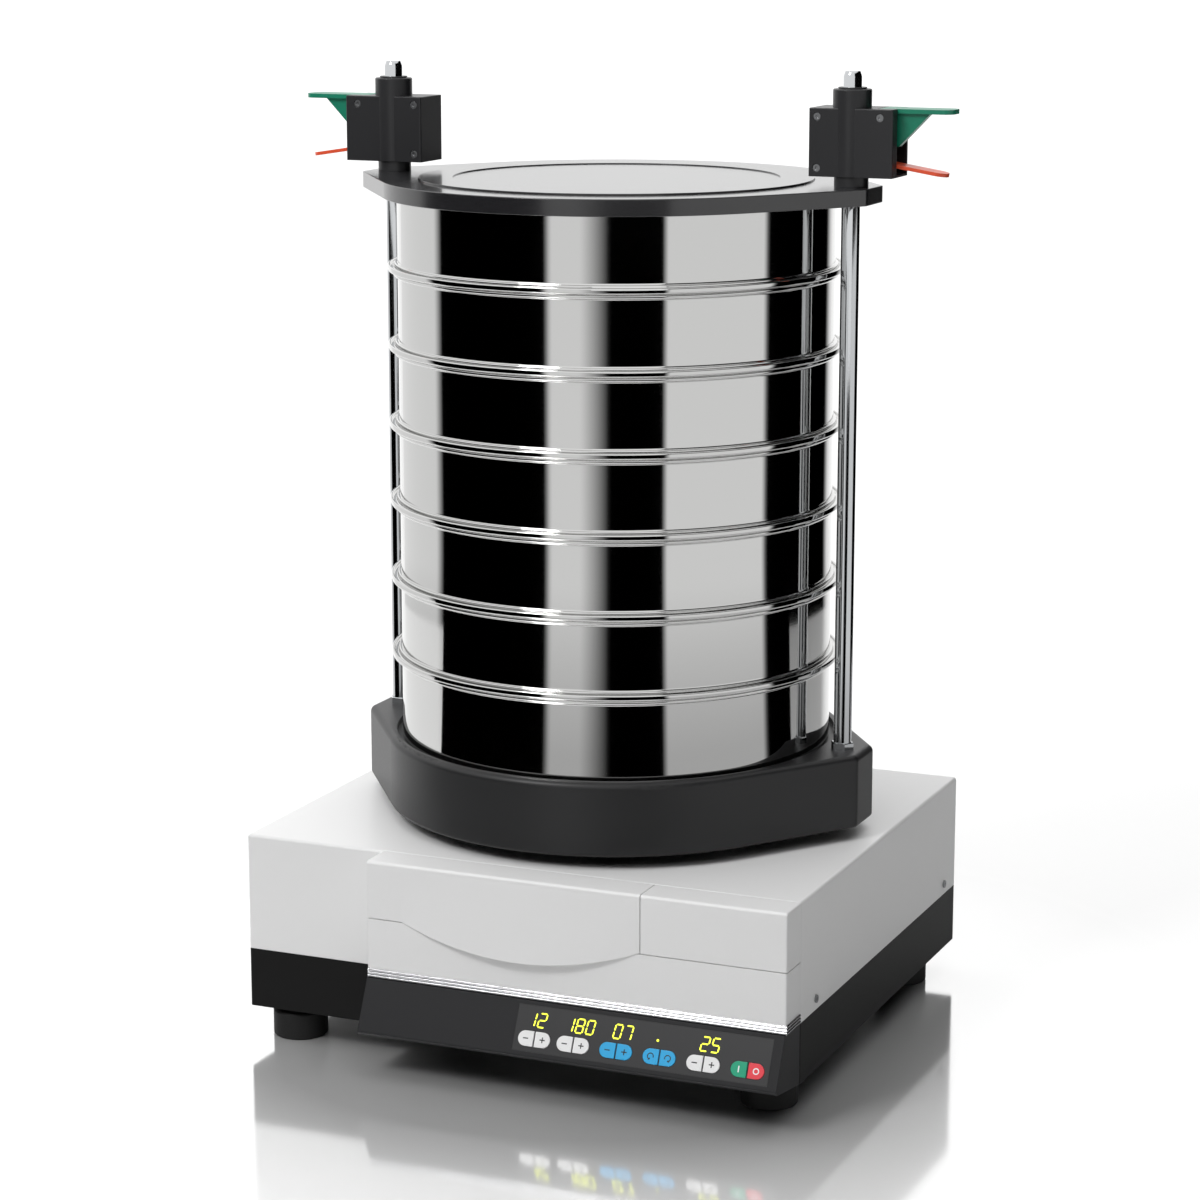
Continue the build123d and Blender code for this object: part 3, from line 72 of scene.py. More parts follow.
def makeMaterial(name, colour, metallic=0.0, roughness=0.5, ior=1.5, coat=0.0, grain=None, smear=None,
                 edge=0.0, emission=0.0, specular=0.5):
    # grain: (size in mm, bump strength, roughness change); smear stretches it along X, Y and Z
    material = bpy.data.materials.new(name)
    material.use_nodes = True
    tree = material.node_tree
    tree.nodes.clear()
    output = addNode(tree, "ShaderNodeOutputMaterial", (400, 0))
    shader = addNode(tree, "ShaderNodeBsdfPrincipled", (100, 0))
    tree.links.new(shader.outputs["BSDF"], output.inputs["Surface"])
    shader.inputs["Base Color"].default_value = srgb(colour)
    shader.inputs["Metallic"].default_value = metallic
    shader.inputs["Roughness"].default_value = roughness
    shader.inputs["IOR"].default_value = ior
    shader.inputs["Specular IOR Level"].default_value = specular
    shader.inputs["Coat Weight"].default_value = coat
    shader.inputs["Coat Roughness"].default_value = 0.08
    if emission:
        shader.inputs["Emission Color"].default_value = srgb(colour)
        shader.inputs["Emission Strength"].default_value = emission
    normal = None
    if edge:
        bevel = addNode(tree, "ShaderNodeBevel", (-500, -300), samples=4)
        bevel.inputs["Radius"].default_value = edge * mm
        normal = bevel.outputs["Normal"]
    if grain:
        size, strength, change = grain
        coords = addNode(tree, "ShaderNodeTexCoord", (-1100, 0))
        mapping = addNode(tree, "ShaderNodeMapping", (-900, 0), {"Vector": coords.outputs["Object"]})
        mapping.inputs["Scale"].default_value = smear or (1, 1, 1)
        noise = addNode(tree, "ShaderNodeTexNoise", (-700, 0), {"Vector": mapping.outputs["Vector"]})
        noise.inputs["Scale"].default_value = 1 / (size * mm)
        noise.inputs["Detail"].default_value = 3.0
        bump = addNode(tree, "ShaderNodeBump", (-300, -200), {"Height": noise.outputs["Fac"]})
        bump.inputs["Strength"].default_value = strength
        bump.inputs["Distance"].default_value = 0.2 * mm
        if normal:
            tree.links.new(normal, bump.inputs["Normal"])
        normal = bump.outputs["Normal"]
        spread = addNode(tree, "ShaderNodeMapRange", (-300, 100), {"Value": noise.outputs["Fac"]})
        spread.inputs["To Min"].default_value = max(0.0, roughness - change)
        spread.inputs["To Max"].default_value = roughness + change
        tree.links.new(spread.outputs["Result"], shader.inputs["Roughness"])
    if normal:
        tree.links.new(normal, shader.inputs["Normal"])
    return material


finishes = {
    # light powder coat on steel and on the moulded fascia: satin, with a very fine orange peel
    "cover_paint": makeMaterial("PowderCoatLightGrey", "E4E4E4", 0, 0.36, grain=(2.2, 0.03, 0.03), edge=1.2),
    "tray_paint": makeMaterial("PowderCoatBlack", "131313", 0, 0.46, grain=(1.4, 0.06, 0.05), edge=0.8,
                               specular=0.12),
    "trim_metal": makeMaterial("AluminiumBrightDipped", "C2C2C4", 1, 0.2, edge=0.3),
    # fine spark-eroded texture, which keeps the glare soft
    "panel_plastic": makeMaterial("AbsTexturedAnthracite", "1F1F21", 0, 0.46, grain=(0.9, 0.16, 0.08),
                                  edge=1.0, specular=0.22),
    "overlay_film": makeMaterial("PolyesterFilmAnthracite", "1D1D1F", 0, 0.3, grain=(0.7, 0.03, 0.04)),
    "board": makeMaterial("SolderMaskGreen", "0C3A22", 0, 0.3),
    "display_window": makeMaterial("EpoxyBlack", "101012", 0, 0.2),
    "foot_rubber": makeMaterial("NitrileRubberBlack", "0F0F0F", 0, 0.62, grain=(1.8, 0.12, 0.08), edge=0.8,
                                specular=0.25),
    "screw_steel": makeMaterial("SteelZincPlated", "8C8D8F", 1, 0.3, edge=0.3),
    "socket_plastic": makeMaterial("PolyamideBlack", "181818", 0, 0.45, edge=0.4),
    "bridge_cast": makeMaterial("AluminiumCast", "A9AAAC", 1, 0.5, grain=(1.6, 0.3, 0.1), edge=1.0),
    "bearing_steel": makeMaterial("BearingSteelGround", "B8BABC", 1, 0.22, edge=0.4),
    "motor_paint": makeMaterial("EnamelDarkGrey", "2A2D31", 0, 0.36, edge=1.0),
    "controller_metal": makeMaterial("AluminiumAnodisedGrey", "6A6C6F", 1, 0.4, edge=0.5),
    "belt_rubber": makeMaterial("ChloropreneBelt", "131313", 0, 0.7),
    "pulley_metal": makeMaterial("AluminiumTurned", "B4B5B7", 1, 0.3, edge=0.4),
    "rocker_plastic": makeMaterial("PolycarbonateBlack", "121212", 0, 0.22, edge=0.5),
    "crank_steel": makeMaterial("SteelTurned", "98999B", 1, 0.28, edge=0.5),
    "counterweight_iron": makeMaterial("CastIronMachined", "4B4B4D", 1, 0.42, edge=0.8),
    # satin stove enamel on cast aluminium: broad soft highlights on the rounded rim
    "platform_paint": makeMaterial("EnamelSatinBlack", "1F1F20", 0, 0.4, grain=(1.6, 0.05, 0.05), edge=1.0,
                                   specular=0.35),
    "rod_chrome": makeMaterial("HardChrome", "BEC0C2", 1, 0.1),
    # polished stainless sheet: near mirror, with faint lines round the wall
    "sieve_steel": makeMaterial("StainlessPolished", "C6C6C5", 1, 0.05, grain=(0.9, 0.012, 0.02),
                                smear=(0.02, 0.02, 1)),
    # smooth black plate that mirrors the bright room at a flat angle
    "plate_anodised": makeMaterial("AluminiumAnodisedSatinBlack", "1E1E20", 0, 0.24, ior=1.55, coat=0.4,
                                   grain=(1.2, 0.01, 0.02), edge=0.8),
    # anodised blocks, matt enough to keep their corners quiet
    "unit_anodised": makeMaterial("AluminiumAnodisedBlack", "222224", 0, 0.36, grain=(0.8, 0.05, 0.05),
                                  edge=0.8, specular=0.4),
    "lever_green": makeMaterial("PowderCoatGreen", "0A7A5E", 0, 0.35, edge=0.8),
    "lever_red": makeMaterial("PowderCoatRedOrange", "E0522F", 0, 0.35, edge=0.8),
    "key_white": makeMaterial("PolycarbonateKeyWhite", "ECECEC", 0, 0.3, edge=0.3),
    "key_blue": makeMaterial("PolycarbonateKeyBlue", "2AA8E0", 0, 0.3, edge=0.3),
    "key_green": makeMaterial("PolycarbonateKeyGreen", "0E9E78", 0, 0.3, edge=0.3),
    "key_red": makeMaterial("PolycarbonateKeyRed", "E8404C", 0, 0.3, edge=0.3),
}
clothWire = makeMaterial("StainlessWire", "C9C9C6", 1, 0.3)
symbolInk = makeMaterial("ScreenInkBlack", "17181A", 0, 0.5)
symbolWhite = makeMaterial("ScreenInkWhite", "F4F4F4", 0, 0.5)
segmentGlow = makeMaterial("LedSegmentYellow", "E8F03A", 0, 0.4, emission=1.6)
borderInk = makeMaterial("ScreenInkBorder", "0E0E0F", 0, 0.4)

for part in frame["record"]["subparts"]:
    meshData = nodes[part["node"]].data
    meshData.materials.clear()
    meshData.materials.append(finishes[part["material_slot"]])
print("stage: finishes on the CAD nodes")


# Builders
def meshObject(name, points, faces, material, smooth=True):
    data = bpy.data.meshes.new(name)
    data.from_pydata([tuple(c * mm for c in p) for p in points], [], faces)
    data.materials.append(material)
    data.validate()
    for face in data.polygons:
        face.use_smooth = smooth
    piece = bpy.data.objects.new(name, data)
    bpy.context.scene.collection.objects.link(piece)
    return piece


def smoothByAngle(piece, degrees=35):
    # flat faces stay flat and round ones are shaded round
    bpy.ops.object.select_all(action="DESELECT")
    piece.select_set(True)
    bpy.context.view_layer.objects.active = piece
    bpy.ops.object.shade_smooth_by_angle(angle=math.radians(degrees))


def lathe(name, profile, centre, steps, material, closed=True):
    # turns (radius, height) points round a vertical axis; a point on the axis becomes one vertex
    points, rows = [], []
    for radius, height in profile:
        if radius < 1e-6:
            rows.append([len(points)] * steps)
            points.append((centre[0], centre[1], height))
        else:
            rows.append(list(range(len(points), len(points) + steps)))
            for i in range(steps):
                turn = 2 * math.pi * i / steps
                points.append((centre[0] + radius * math.cos(turn),
                               centre[1] + radius * math.sin(turn), height))
    faces = []
    count = len(rows)
    for r in range(count if closed else count - 1):
        low, high = rows[r], rows[(r + 1) % count]
        for i in range(steps):
            j = (i + 1) % steps
            quad = [low[i], low[j], high[j], high[i]]
            face = [v for k, v in enumerate(quad) if v != quad[k - 1]]
            if len(set(face)) > 2:
                faces.append(face)
    piece = meshObject(name, points, faces, material)
    smoothByAngle(piece)
    return piece


def arcPoints(cx, cz, radius, start, stop, count):
    # points of an arc in a profile, in degrees
    turns = [math.radians(start + (stop - start) * k / count) for k in range(count + 1)]
    return [(cx + radius * math.cos(t), cz + radius * math.sin(t)) for t in turns]


# The stack: pan and sieves
wall = {"outer": 200.0, "inner": 198.8, "bead": 204.2, "beadHeight": 5.0, "beadRoot": 0.9, "edgeRound": 1.0,
        "flange": 209.0, "flangeHeight": 5.6, "flangeRound": 1.8, "lip": 2.4, "groove": 2.6, "grooveRound": 1.2,
        "step": 202.6, "stepHeight": 7.4, "stepRound": 1.1, "stepEdge": 0.5, "support": 1.0, "skirt": 198.2,
        "skirtInner": 197.0, "skirtDepth": 9.0, "seat": 2.0, "panThick": 1.2, "panCorner": 5.0, "steps": 256}


def beadProfile(top):
    # the rolled edge, from under the bead round to the top and in; a support point keeps the wall flat
    half, root, edge = wall["beadHeight"] / 2, wall["beadRoot"], wall["edgeRound"]
    under = top - wall["beadHeight"]
    points = [(wall["outer"], under - 1.4 - wall["support"]), (wall["outer"], under - 1.4)]
    points += arcPoints(wall["outer"] + root, under - root, root, 180, 90, 3)
    points += arcPoints(wall["bead"] - half, top - half, half, -90, 90, 10)
    points += arcPoints(wall["inner"] + edge, top - edge, edge, 90, 180, 4)
    return points


def sieveProfile(low, top):
    # skirt, flange, groove and step at the foot, then the wall and its bead
    flange, lip, groove, step = wall["flange"], wall["lip"] / 2, wall["grooveRound"], wall["stepRound"]
    rounding, floor, ledge = wall["flangeRound"], low + wall["groove"], low + wall["stepHeight"]
    points = [(wall["skirtInner"], low - wall["skirtDepth"]), (wall["skirt"], low - wall["skirtDepth"]),
              (wall["skirt"], low)]
    points += arcPoints(flange - rounding, low + rounding, rounding, -90, 0, 6)
    points += arcPoints(flange - lip, low + wall["flangeHeight"] - lip, lip, 0, 180, 8)
    points += arcPoints(flange - 2 * lip - groove, floor + groove, groove, 0, -90, 4)
    points += arcPoints(wall["step"] + groove, floor + groove, groove, -90, -180, 4)
    points += arcPoints(wall["step"] - step, ledge - step, step, 0, 90, 5)
    points += [(wall["outer"] + 0.3, ledge), (wall["outer"], ledge + wall["stepEdge"]),
               (wall["outer"], ledge + wall["stepEdge"] + wall["support"])]
    points += beadProfile(top)
    points += [(wall["inner"], low + wall["seat"]), (wall["skirtInner"], low + wall["seat"])]
    return points


for number in range(1, sieveCount + 1):
    low = panRim + (sieveCount - number) * sievePitch
    shell = lathe(f"sieveFrame{number}", sieveProfile(low, low + sievePitch), stackCentre, wall["steps"],
                  finishes["sieve_steel"])
    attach(shell, f"sieve_{number}")
    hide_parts(f"sieve_{number}")

corner, thick = wall["panCorner"], wall["panThick"]
panOutline = [(0, panFloor)] + arcPoints(wall["outer"] - corner, panFloor + corner, corner, -90, 0, 8)
panOutline += [(wall["outer"], panFloor + corner + wall["support"])]
panOutline += beadProfile(panRim)
panOutline += arcPoints(wall["inner"] - corner + thick, panFloor + corner, corner - thick, 0, -90, 8)
panOutline += [(0, panFloor + thick)]
pan = lathe("panShell", panOutline, stackCentre, wall["steps"], finishes["sieve_steel"])
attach(pan, "pan")
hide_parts("collecting_pan")
print("stage: pan and sieve frames")


# Wire cloth
clothSettings = {"radius": 198.6, "height": 2.9, "sides": 4,
                 "wires": ((19.0, 2.4), (13.0, 1.8), (9.5, 1.5), (7.0, 1.25), (5.4, 1.0), (4.6, 0.9))}


def clothTree():
    # crossing rows of crimped wires, cut to a disc
    tree = bpy.data.node_groups.new("wovenCloth", "GeometryNodeTree")
    tree.interface.new_socket("Geometry", in_out="OUTPUT", socket_type="NodeSocketGeometry")
    for label in ("Radius", "Pitch", "Wire"):
        tree.interface.new_socket(label, in_out="INPUT", socket_type="NodeSocketFloat")
    tree.interface.new_socket("Finish", in_out="INPUT", socket_type="NodeSocketMaterial")
    given = addNode(tree, "NodeGroupInput", (-1800, 0))
    radius, pitch, wire = (given.outputs[label] for label in ("Radius", "Pitch", "Wire"))

    def calc(operation, spot, first, second=None):
        node = addNode(tree, "ShaderNodeMath", spot, operation=operation)
        for socket, value in zip(node.inputs, (first, second)):
            if hasattr(value, "links"):
                tree.links.new(value, socket)
            elif value is not None:
                socket.default_value = value
        return node.outputs[0]

    half = calc("FLOOR", (-1500, 300), calc("DIVIDE", (-1650, 300), radius, pitch))
    count = calc("ADD", (-1300, 300), calc("MULTIPLY", (-1400, 300), half, 2.0), 1.0)
    start = calc("MULTIPLY", (-1300, 100), calc("MULTIPLY", (-1400, 100), half, pitch), -1.0)
    rows = []
    for turned in (0, 1):
        y = -500 * turned
        begin = addNode(tree, "ShaderNodeCombineXYZ", (-1100, y), {"X": start})
        step = addNode(tree, "ShaderNodeCombineXYZ", (-1100, y - 150), {"X": pitch})
        line = addNode(tree, "GeometryNodeMeshLine", (-900, y), {
            "Count": count, "Start Location": begin.outputs[0], "Offset": step.outputs[0]})
        spot = addNode(tree, "GeometryNodeInputPosition", (-1100, y - 300))
        apart = addNode(tree, "ShaderNodeSeparateXYZ", (-950, y - 300), {"Vector": spot.outputs[0]})
        square = calc("MULTIPLY", (-800, y - 300), apart.outputs["X"], apart.outputs["X"])
        room = calc("SUBTRACT", (-650, y - 300), calc("MULTIPLY", (-800, y - 400), radius, radius), square)
        reach = calc("SQRT", (-500, y - 300), calc("MAXIMUM", (-580, y - 400), room, 1e-8))
        scale = addNode(tree, "ShaderNodeCombineXYZ", (-400, y - 300), {"Y": reach})
        scale.inputs["X"].default_value = 1.0
        scale.inputs["Z"].default_value = 1.0
        unit = addNode(tree, "GeometryNodeCurvePrimitiveLine", (-700, y + 150))
        unit.inputs["Start"].default_value = (0, -1, 0)
        unit.inputs["End"].default_value = (0, 1, 0)
        placed = addNode(tree, "GeometryNodeInstanceOnPoints", (-300, y), {
            "Points": line.outputs["Mesh"], "Instance": unit.outputs["Curve"], "Scale": scale.outputs[0]})
        real = addNode(tree, "GeometryNodeRealizeInstances", (-150, y), {"Geometry": placed.outputs[0]})
        fine = addNode(tree, "GeometryNodeResampleCurve", (0, y), {
            "Curve": real.outputs[0], "Length": calc("MULTIPLY", (-150, y - 200), pitch, 0.5)}, mode="LENGTH")
        turn = addNode(tree, "GeometryNodeTransform", (150, y), {"Geometry": fine.outputs[0]})
        turn.inputs["Rotation"].default_value = (0, 0, turned * math.pi / 2)
        where = addNode(tree, "GeometryNodeInputPosition", (150, y - 300))
        parts = addNode(tree, "ShaderNodeSeparateXYZ", (300, y - 300), {"Vector": where.outputs[0]})
        waves = []
        for k, axis in enumerate(("X", "Y")):
            turns = calc("DIVIDE", (450, y - 300 - 80 * k), parts.outputs[axis], pitch)
            angle = calc("MULTIPLY", (550, y - 300 - 80 * k), turns, math.pi)
            waves.append(calc("COSINE", (650, y - 300 - 80 * k), angle))
        wave = calc("MULTIPLY", (750, y - 300), waves[0], waves[1])
        swing = calc("MULTIPLY", (750, y - 400), wire, -0.5 if turned else 0.5)
        rise = addNode(tree, "ShaderNodeCombineXYZ", (950, y - 300), {
            "Z": calc("MULTIPLY", (850, y - 300), wave, swing)})
        crimped = addNode(tree, "GeometryNodeSetPosition", (1000, y), {
            "Geometry": turn.outputs[0], "Offset": rise.outputs[0]})
        rows.append(crimped.outputs[0])
    joined = addNode(tree, "GeometryNodeJoinGeometry", (1200, 0))
    for row in rows:
        tree.links.new(row, joined.inputs[0])
    ring = addNode(tree, "GeometryNodeCurvePrimitiveCircle", (1200, -200), {
        "Radius": calc("MULTIPLY", (1050, -200), wire, 0.5)})
    ring.inputs["Resolution"].default_value = clothSettings["sides"]
    tube = addNode(tree, "GeometryNodeCurveToMesh", (1400, 0), {
        "Curve": joined.outputs[0], "Profile Curve": ring.outputs["Curve"]})
    tube.inputs["Fill Caps"].default_value = True
    solid = addNode(tree, "GeometryNodeRealizeInstances", (1550, 0), {"Geometry": tube.outputs[0]})
    coated = addNode(tree, "GeometryNodeSetMaterial", (1700, 0), {
        "Geometry": solid.outputs[0], "Material": given.outputs["Finish"]})
    addNode(tree, "NodeGroupOutput", (1900, 0), {"Geometry": coated.outputs[0]})
    return tree


def bakeNodes(name, tree, inputs, shift):
    # runs a node tree on an empty mesh and returns the result as a plain object
    host = bpy.data.objects.new(name + "Host", bpy.data.meshes.new(name + "Host"))
    bpy.context.scene.collection.objects.link(host)
    modifier = host.modifiers.new("build", "NODES")
    modifier.node_group = tree
    names = {item.name: item.identifier for item in tree.interface.items_tree
             if item.item_type == "SOCKET" and item.in_out == "INPUT"}
    for label, value in inputs.items():
        modifier[names[label]] = value
    graph = bpy.context.evaluated_depsgraph_get()
    result = bpy.data.meshes.new_from_object(host.evaluated_get(graph))
    bpy.data.objects.remove(host)
    for vertex in result.vertices:
        vertex.co += Vector(shift)
    result.name = name
    piece = bpy.data.objects.new(name, result)
    bpy.context.scene.collection.objects.link(piece)
    return piece


weave = clothTree()
for number, (pitch, wire) in enumerate(clothSettings["wires"], start=1):
    low = panRim + (sieveCount - number) * sievePitch
    cloth = bakeNodes(f"wireCloth{number}", weave, {
        "Radius": clothSettings["radius"] * mm, "Pitch": pitch * mm, "Wire": wire * mm, "Finish": clothWire},
        (stackCentre[0] * mm, stackCentre[1] * mm, (low + clothSettings["height"]) * mm))
    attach(cloth, f"sieve_{number}")
print("stage: wire cloth")

# Tie rods
rodSettings = {"radius": 8.25, "taper": 4.7, "tipRadius": 6.85, "edge": 0.5, "endRadius": 6.4, "steps": 48}
rodOutline = [(0, rodFoot), (rodSettings["radius"], rodFoot),
              (rodSettings["radius"], rodTip - rodSettings["taper"]),
              (rodSettings["tipRadius"], rodTip - rodSettings["edge"]), (rodSettings["endRadius"], rodTip),
              (0, rodTip)]
for name, side in (("leftRod", -1), ("rightRod", 1)):
    rod = lathe(name, rodOutline, (stackCentre[0] + side * rodSpread, stackCentre[1]), rodSettings["steps"],
                finishes["rod_chrome"])
    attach(rod, "platform")
    if side == -1:
        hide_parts("tie_rods")
print("stage: rods")


# Marks on the panel
def panelPoint(across, down, height):
    place = panelOrigin + panelDown * down + panelOut * height
    return (across, place.y, place.z)


def panelPiece(name, outlines, height, thickness, material):
    # flat closed plates on the panel; each outline is a list of (across, down), counter-clockwise as seen
    points, faces = [], []
    for outline in outlines:
        base, count = len(points), len(outline)
        points += [panelPoint(x, s, height) for x, s in outline]
        points += [panelPoint(x, s, height + thickness) for x, s in outline]
        faces.append([base + count + i for i in range(count)])
        faces.append([base + count - 1 - i for i in range(count)])
        for i in range(count):
            j = (i + 1) % count
            faces.append([base + i, base + j, base + count + j, base + count + i])
    piece = meshObject(name, points, faces, material, smooth=False)
    bpy.ops.object.select_all(action="DESELECT")
    piece.select_set(True)
    bpy.context.view_layer.objects.active = piece
    bpy.ops.object.mode_set(mode="EDIT")
    bpy.ops.mesh.select_all(action="SELECT")
    bpy.ops.mesh.normals_make_consistent(inside=False)
    bpy.ops.object.mode_set(mode="OBJECT")
    return piece


def bar(cx, cy, width, height):
    x, y = width / 2, height / 2
    return [(cx - x, cy + y), (cx + x, cy + y), (cx + x, cy - y), (cx - x, cy - y)]


def plusSign(cx, cy, size, weight):
    a, b = size / 2, weight / 2
    corners = [(-b, a), (b, a), (b, b), (a, b), (a, -b), (b, -b), (b, -a), (-b, -a), (-b, -b), (-a, -b),
               (-a, b), (-b, b)]
    return [(cx + x, cy + y) for x, y in corners]


def onCircle(cx, cy, points, side=1):
    # (radius, degrees) pairs as points of the panel
    return [(cx + side * r * math.cos(math.radians(t)), cy + r * math.sin(math.radians(t)))
            for r, t in points]


def turnArrow(cx, cy, radius, weight, side):
    # three quarters of a ring with an arrow head; side 1 turns clockwise
    outer = [(radius + weight / 2, t) for t in range(-200, 61, 20)]
    inner = [(radius - weight / 2, t) for t in range(60, -201, -20)]
    head = [(radius, 92), (radius + 1.5 * weight, 58), (radius - 1.5 * weight, 58)]
    return [onCircle(cx, cy, outer + inner, side), onCircle(cx, cy, head, side)]


def ringMark(cx, cy, radius, weight):
    # a ring as two half rings
    halves = []
    for start in (0, 180):
        outer = [(radius + weight / 2, start + t) for t in range(0, 181, 20)]
        inner = [(radius - weight / 2, start + t) for t in range(180, -1, -20)]
        halves.append(onCircle(cx, cy, outer + inner))
    return halves


keySettings = {"down": 33.0, "offset": 7.95, "top": 0.7, "ink": 0.03, "signSize": 5.0, "signWeight": 1.0,
               "arrowRadius": 2.7, "arrowWeight": 0.9, "startWidth": 1.1, "startHeight": 5.6,
               "stopRadius": 2.4, "pairs": (("memory", 41.5), ("speed", 78.5), ("interval", 119.2),
                                            ("turn", 159.9), ("time", 200.6), ("run", 241.3))}
for label, pairCentre in keySettings["pairs"]:
    for side in (-1, 1):
        x, y = pairCentre + side * keySettings["offset"], keySettings["down"]
        ink = symbolInk
        if label == "turn":
            node = "key_turn_left" if side < 0 else "key_turn_right"
            marks = turnArrow(x, y, keySettings["arrowRadius"], keySettings["arrowWeight"], side)
        elif label == "run":
            node = "key_start" if side < 0 else "key_stop"
            startMark = [bar(x, y, keySettings["startWidth"], keySettings["startHeight"])]
            stopMark = ringMark(x, y, keySettings["stopRadius"], keySettings["signWeight"])
            marks = startMark if side < 0 else stopMark
            ink = symbolWhite
        else:
            node = f"key_{label}_" + ("down" if side < 0 else "up")
            marks = [bar(x, y, keySettings["signSize"], keySettings["signWeight"])] if side < 0 else [
                plusSign(x, y, keySettings["signSize"], keySettings["signWeight"])]
        mark = panelPiece(node.replace("key_", "mark_"), marks, keySettings["top"], keySettings["ink"], ink)
        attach(mark, node)

digitSettings = {"down": 16.0, "height": 12.2, "width": 6.6, "pitch": 9.8, "weight": 1.25, "slant": 0.14,
                 "lift": 0.02, "ink": 0.05, "gap": 0.35, "dot": (156.1, 18.7, 1.1),
                 "shows": ((41.5, "12"), (82.5, "180"), (123.2, "07"), (204.6, "25"))}
segmentsOf = {"0": "abcdef", "1": "bc", "2": "abged", "5": "afgcd", "7": "abc", "8": "abcdefg"}


def segmentShape(key, cx, cy):
    # one six-sided segment, slanted to the right
    w, h, t = (digitSettings[size] / 2 for size in ("width", "height", "weight"))
    ends = {"a": (-w, h, w, h), "d": (-w, -h, w, -h), "g": (-w, 0, w, 0), "f": (-w, 0, -w, h),
            "b": (w, 0, w, h), "e": (-w, -h, -w, 0), "c": (w, -h, w, 0)}
    x0, y0, x1, y1 = ends[key]
    gap = digitSettings["gap"]
    if y0 == y1:
        x0, x1 = x0 + gap, x1 - gap
        shape = [(x0, y0), (x0 + t, y0 - t), (x1 - t, y0 - t), (x1, y0), (x1 - t, y0 + t), (x0 + t, y0 + t)]
    else:
        y0, y1 = y0 + gap, y1 - gap
        shape = [(x0, y0), (x0 + t, y0 + t), (x0 + t, y1 - t), (x0, y1), (x0 - t, y1 - t), (x0 - t, y0 + t)]
    return [(cx + x + digitSettings["slant"] * y, cy - y) for x, y in shape]


lit = []
for centre, text in digitSettings["shows"]:
    for place, digit in enumerate(text):
        x = centre + (place - (len(text) - 1) / 2) * digitSettings["pitch"]
        lit += [segmentShape(key, x, digitSettings["down"]) for key in segmentsOf[digit]]
dotX, dotY, dotRadius = digitSettings["dot"]
lit.append(onCircle(dotX, dotY, [(dotRadius, -30 * t) for t in range(12)]))
glow = panelPiece("displaySegments", lit, digitSettings["lift"], digitSettings["ink"], segmentGlow)
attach(glow, "base")

borderSettings = {"left": 21.9, "right": 260.9, "top": 3.5, "bottom": 44.6, "weight": 0.7, "inset": 0.5,
                  "lift": 0.01, "ink": 0.03}
x0, x1 = borderSettings["left"] + borderSettings["inset"], borderSettings["right"] - borderSettings["inset"]
s0, s1 = borderSettings["top"] + borderSettings["inset"], borderSettings["bottom"] - borderSettings["inset"]
weight = borderSettings["weight"]
frameBars = [bar((x0 + x1) / 2, s0, x1 - x0, weight), bar((x0 + x1) / 2, s1, x1 - x0, weight),
             bar(x0, (s0 + s1) / 2, weight, s1 - s0 - weight),
             bar(x1, (s0 + s1) / 2, weight, s1 - s0 - weight)]
border = panelPiece("overlayBorder", frameBars, borderSettings["lift"], borderSettings["ink"], borderInk)
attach(border, "base")
print("stage: marks on the panel")


# Studio
def stagePlate(name, points, material):
    # one face of the studio, with its points in metres
    plate = meshObject(name, [tuple(v / mm for v in p) for p in points], [list(range(len(points)))], material,
                       smooth=False)
    return plate


studio = {"world": 1.2, "keyPower": 50.0, "topPower": 14.0, "viewAzimuth": -66.85, "floor": 14,
          "cardLift": 0.002, "cardSteps": 24, "mirror": (0.34, 0.6, 0.66, 0.22), "paperReach": (1.3, 2.3)}
# glossy white acrylic sheet, which mirrors the feet softly
floorMaterial = makeMaterial("StudioAcrylicWhite", "FAFAFA", 0, 0.09)
floorCorners = [(x * studio["floor"], y * studio["floor"], 0) for x, y in ((-1, -1), (1, -1), (1, 1), (-1, 1))]
stagePlate("studioFloor", floorCorners, floorMaterial)
# its mirror fades away from the object
floorTree = floorMaterial.node_tree
floorCoords = addNode(floorTree, "ShaderNodeTexCoord", (-900, 200))
floorReach = addNode(floorTree, "ShaderNodeVectorMath", (-700, 200), {0: floorCoords.outputs["Object"]},
                     operation="LENGTH")
mirrorShare = addNode(floorTree, "ShaderNodeMapRange", (-400, 200), {"Value": floorReach.outputs["Value"]})
for key, value in zip(("From Min", "From Max", "To Min", "To Max"), studio["mirror"]):
    mirrorShare.inputs[key].default_value = value
floorTree.links.new(mirrorShare.outputs["Result"], floorTree.nodes["Principled BSDF"].inputs["Metallic"])


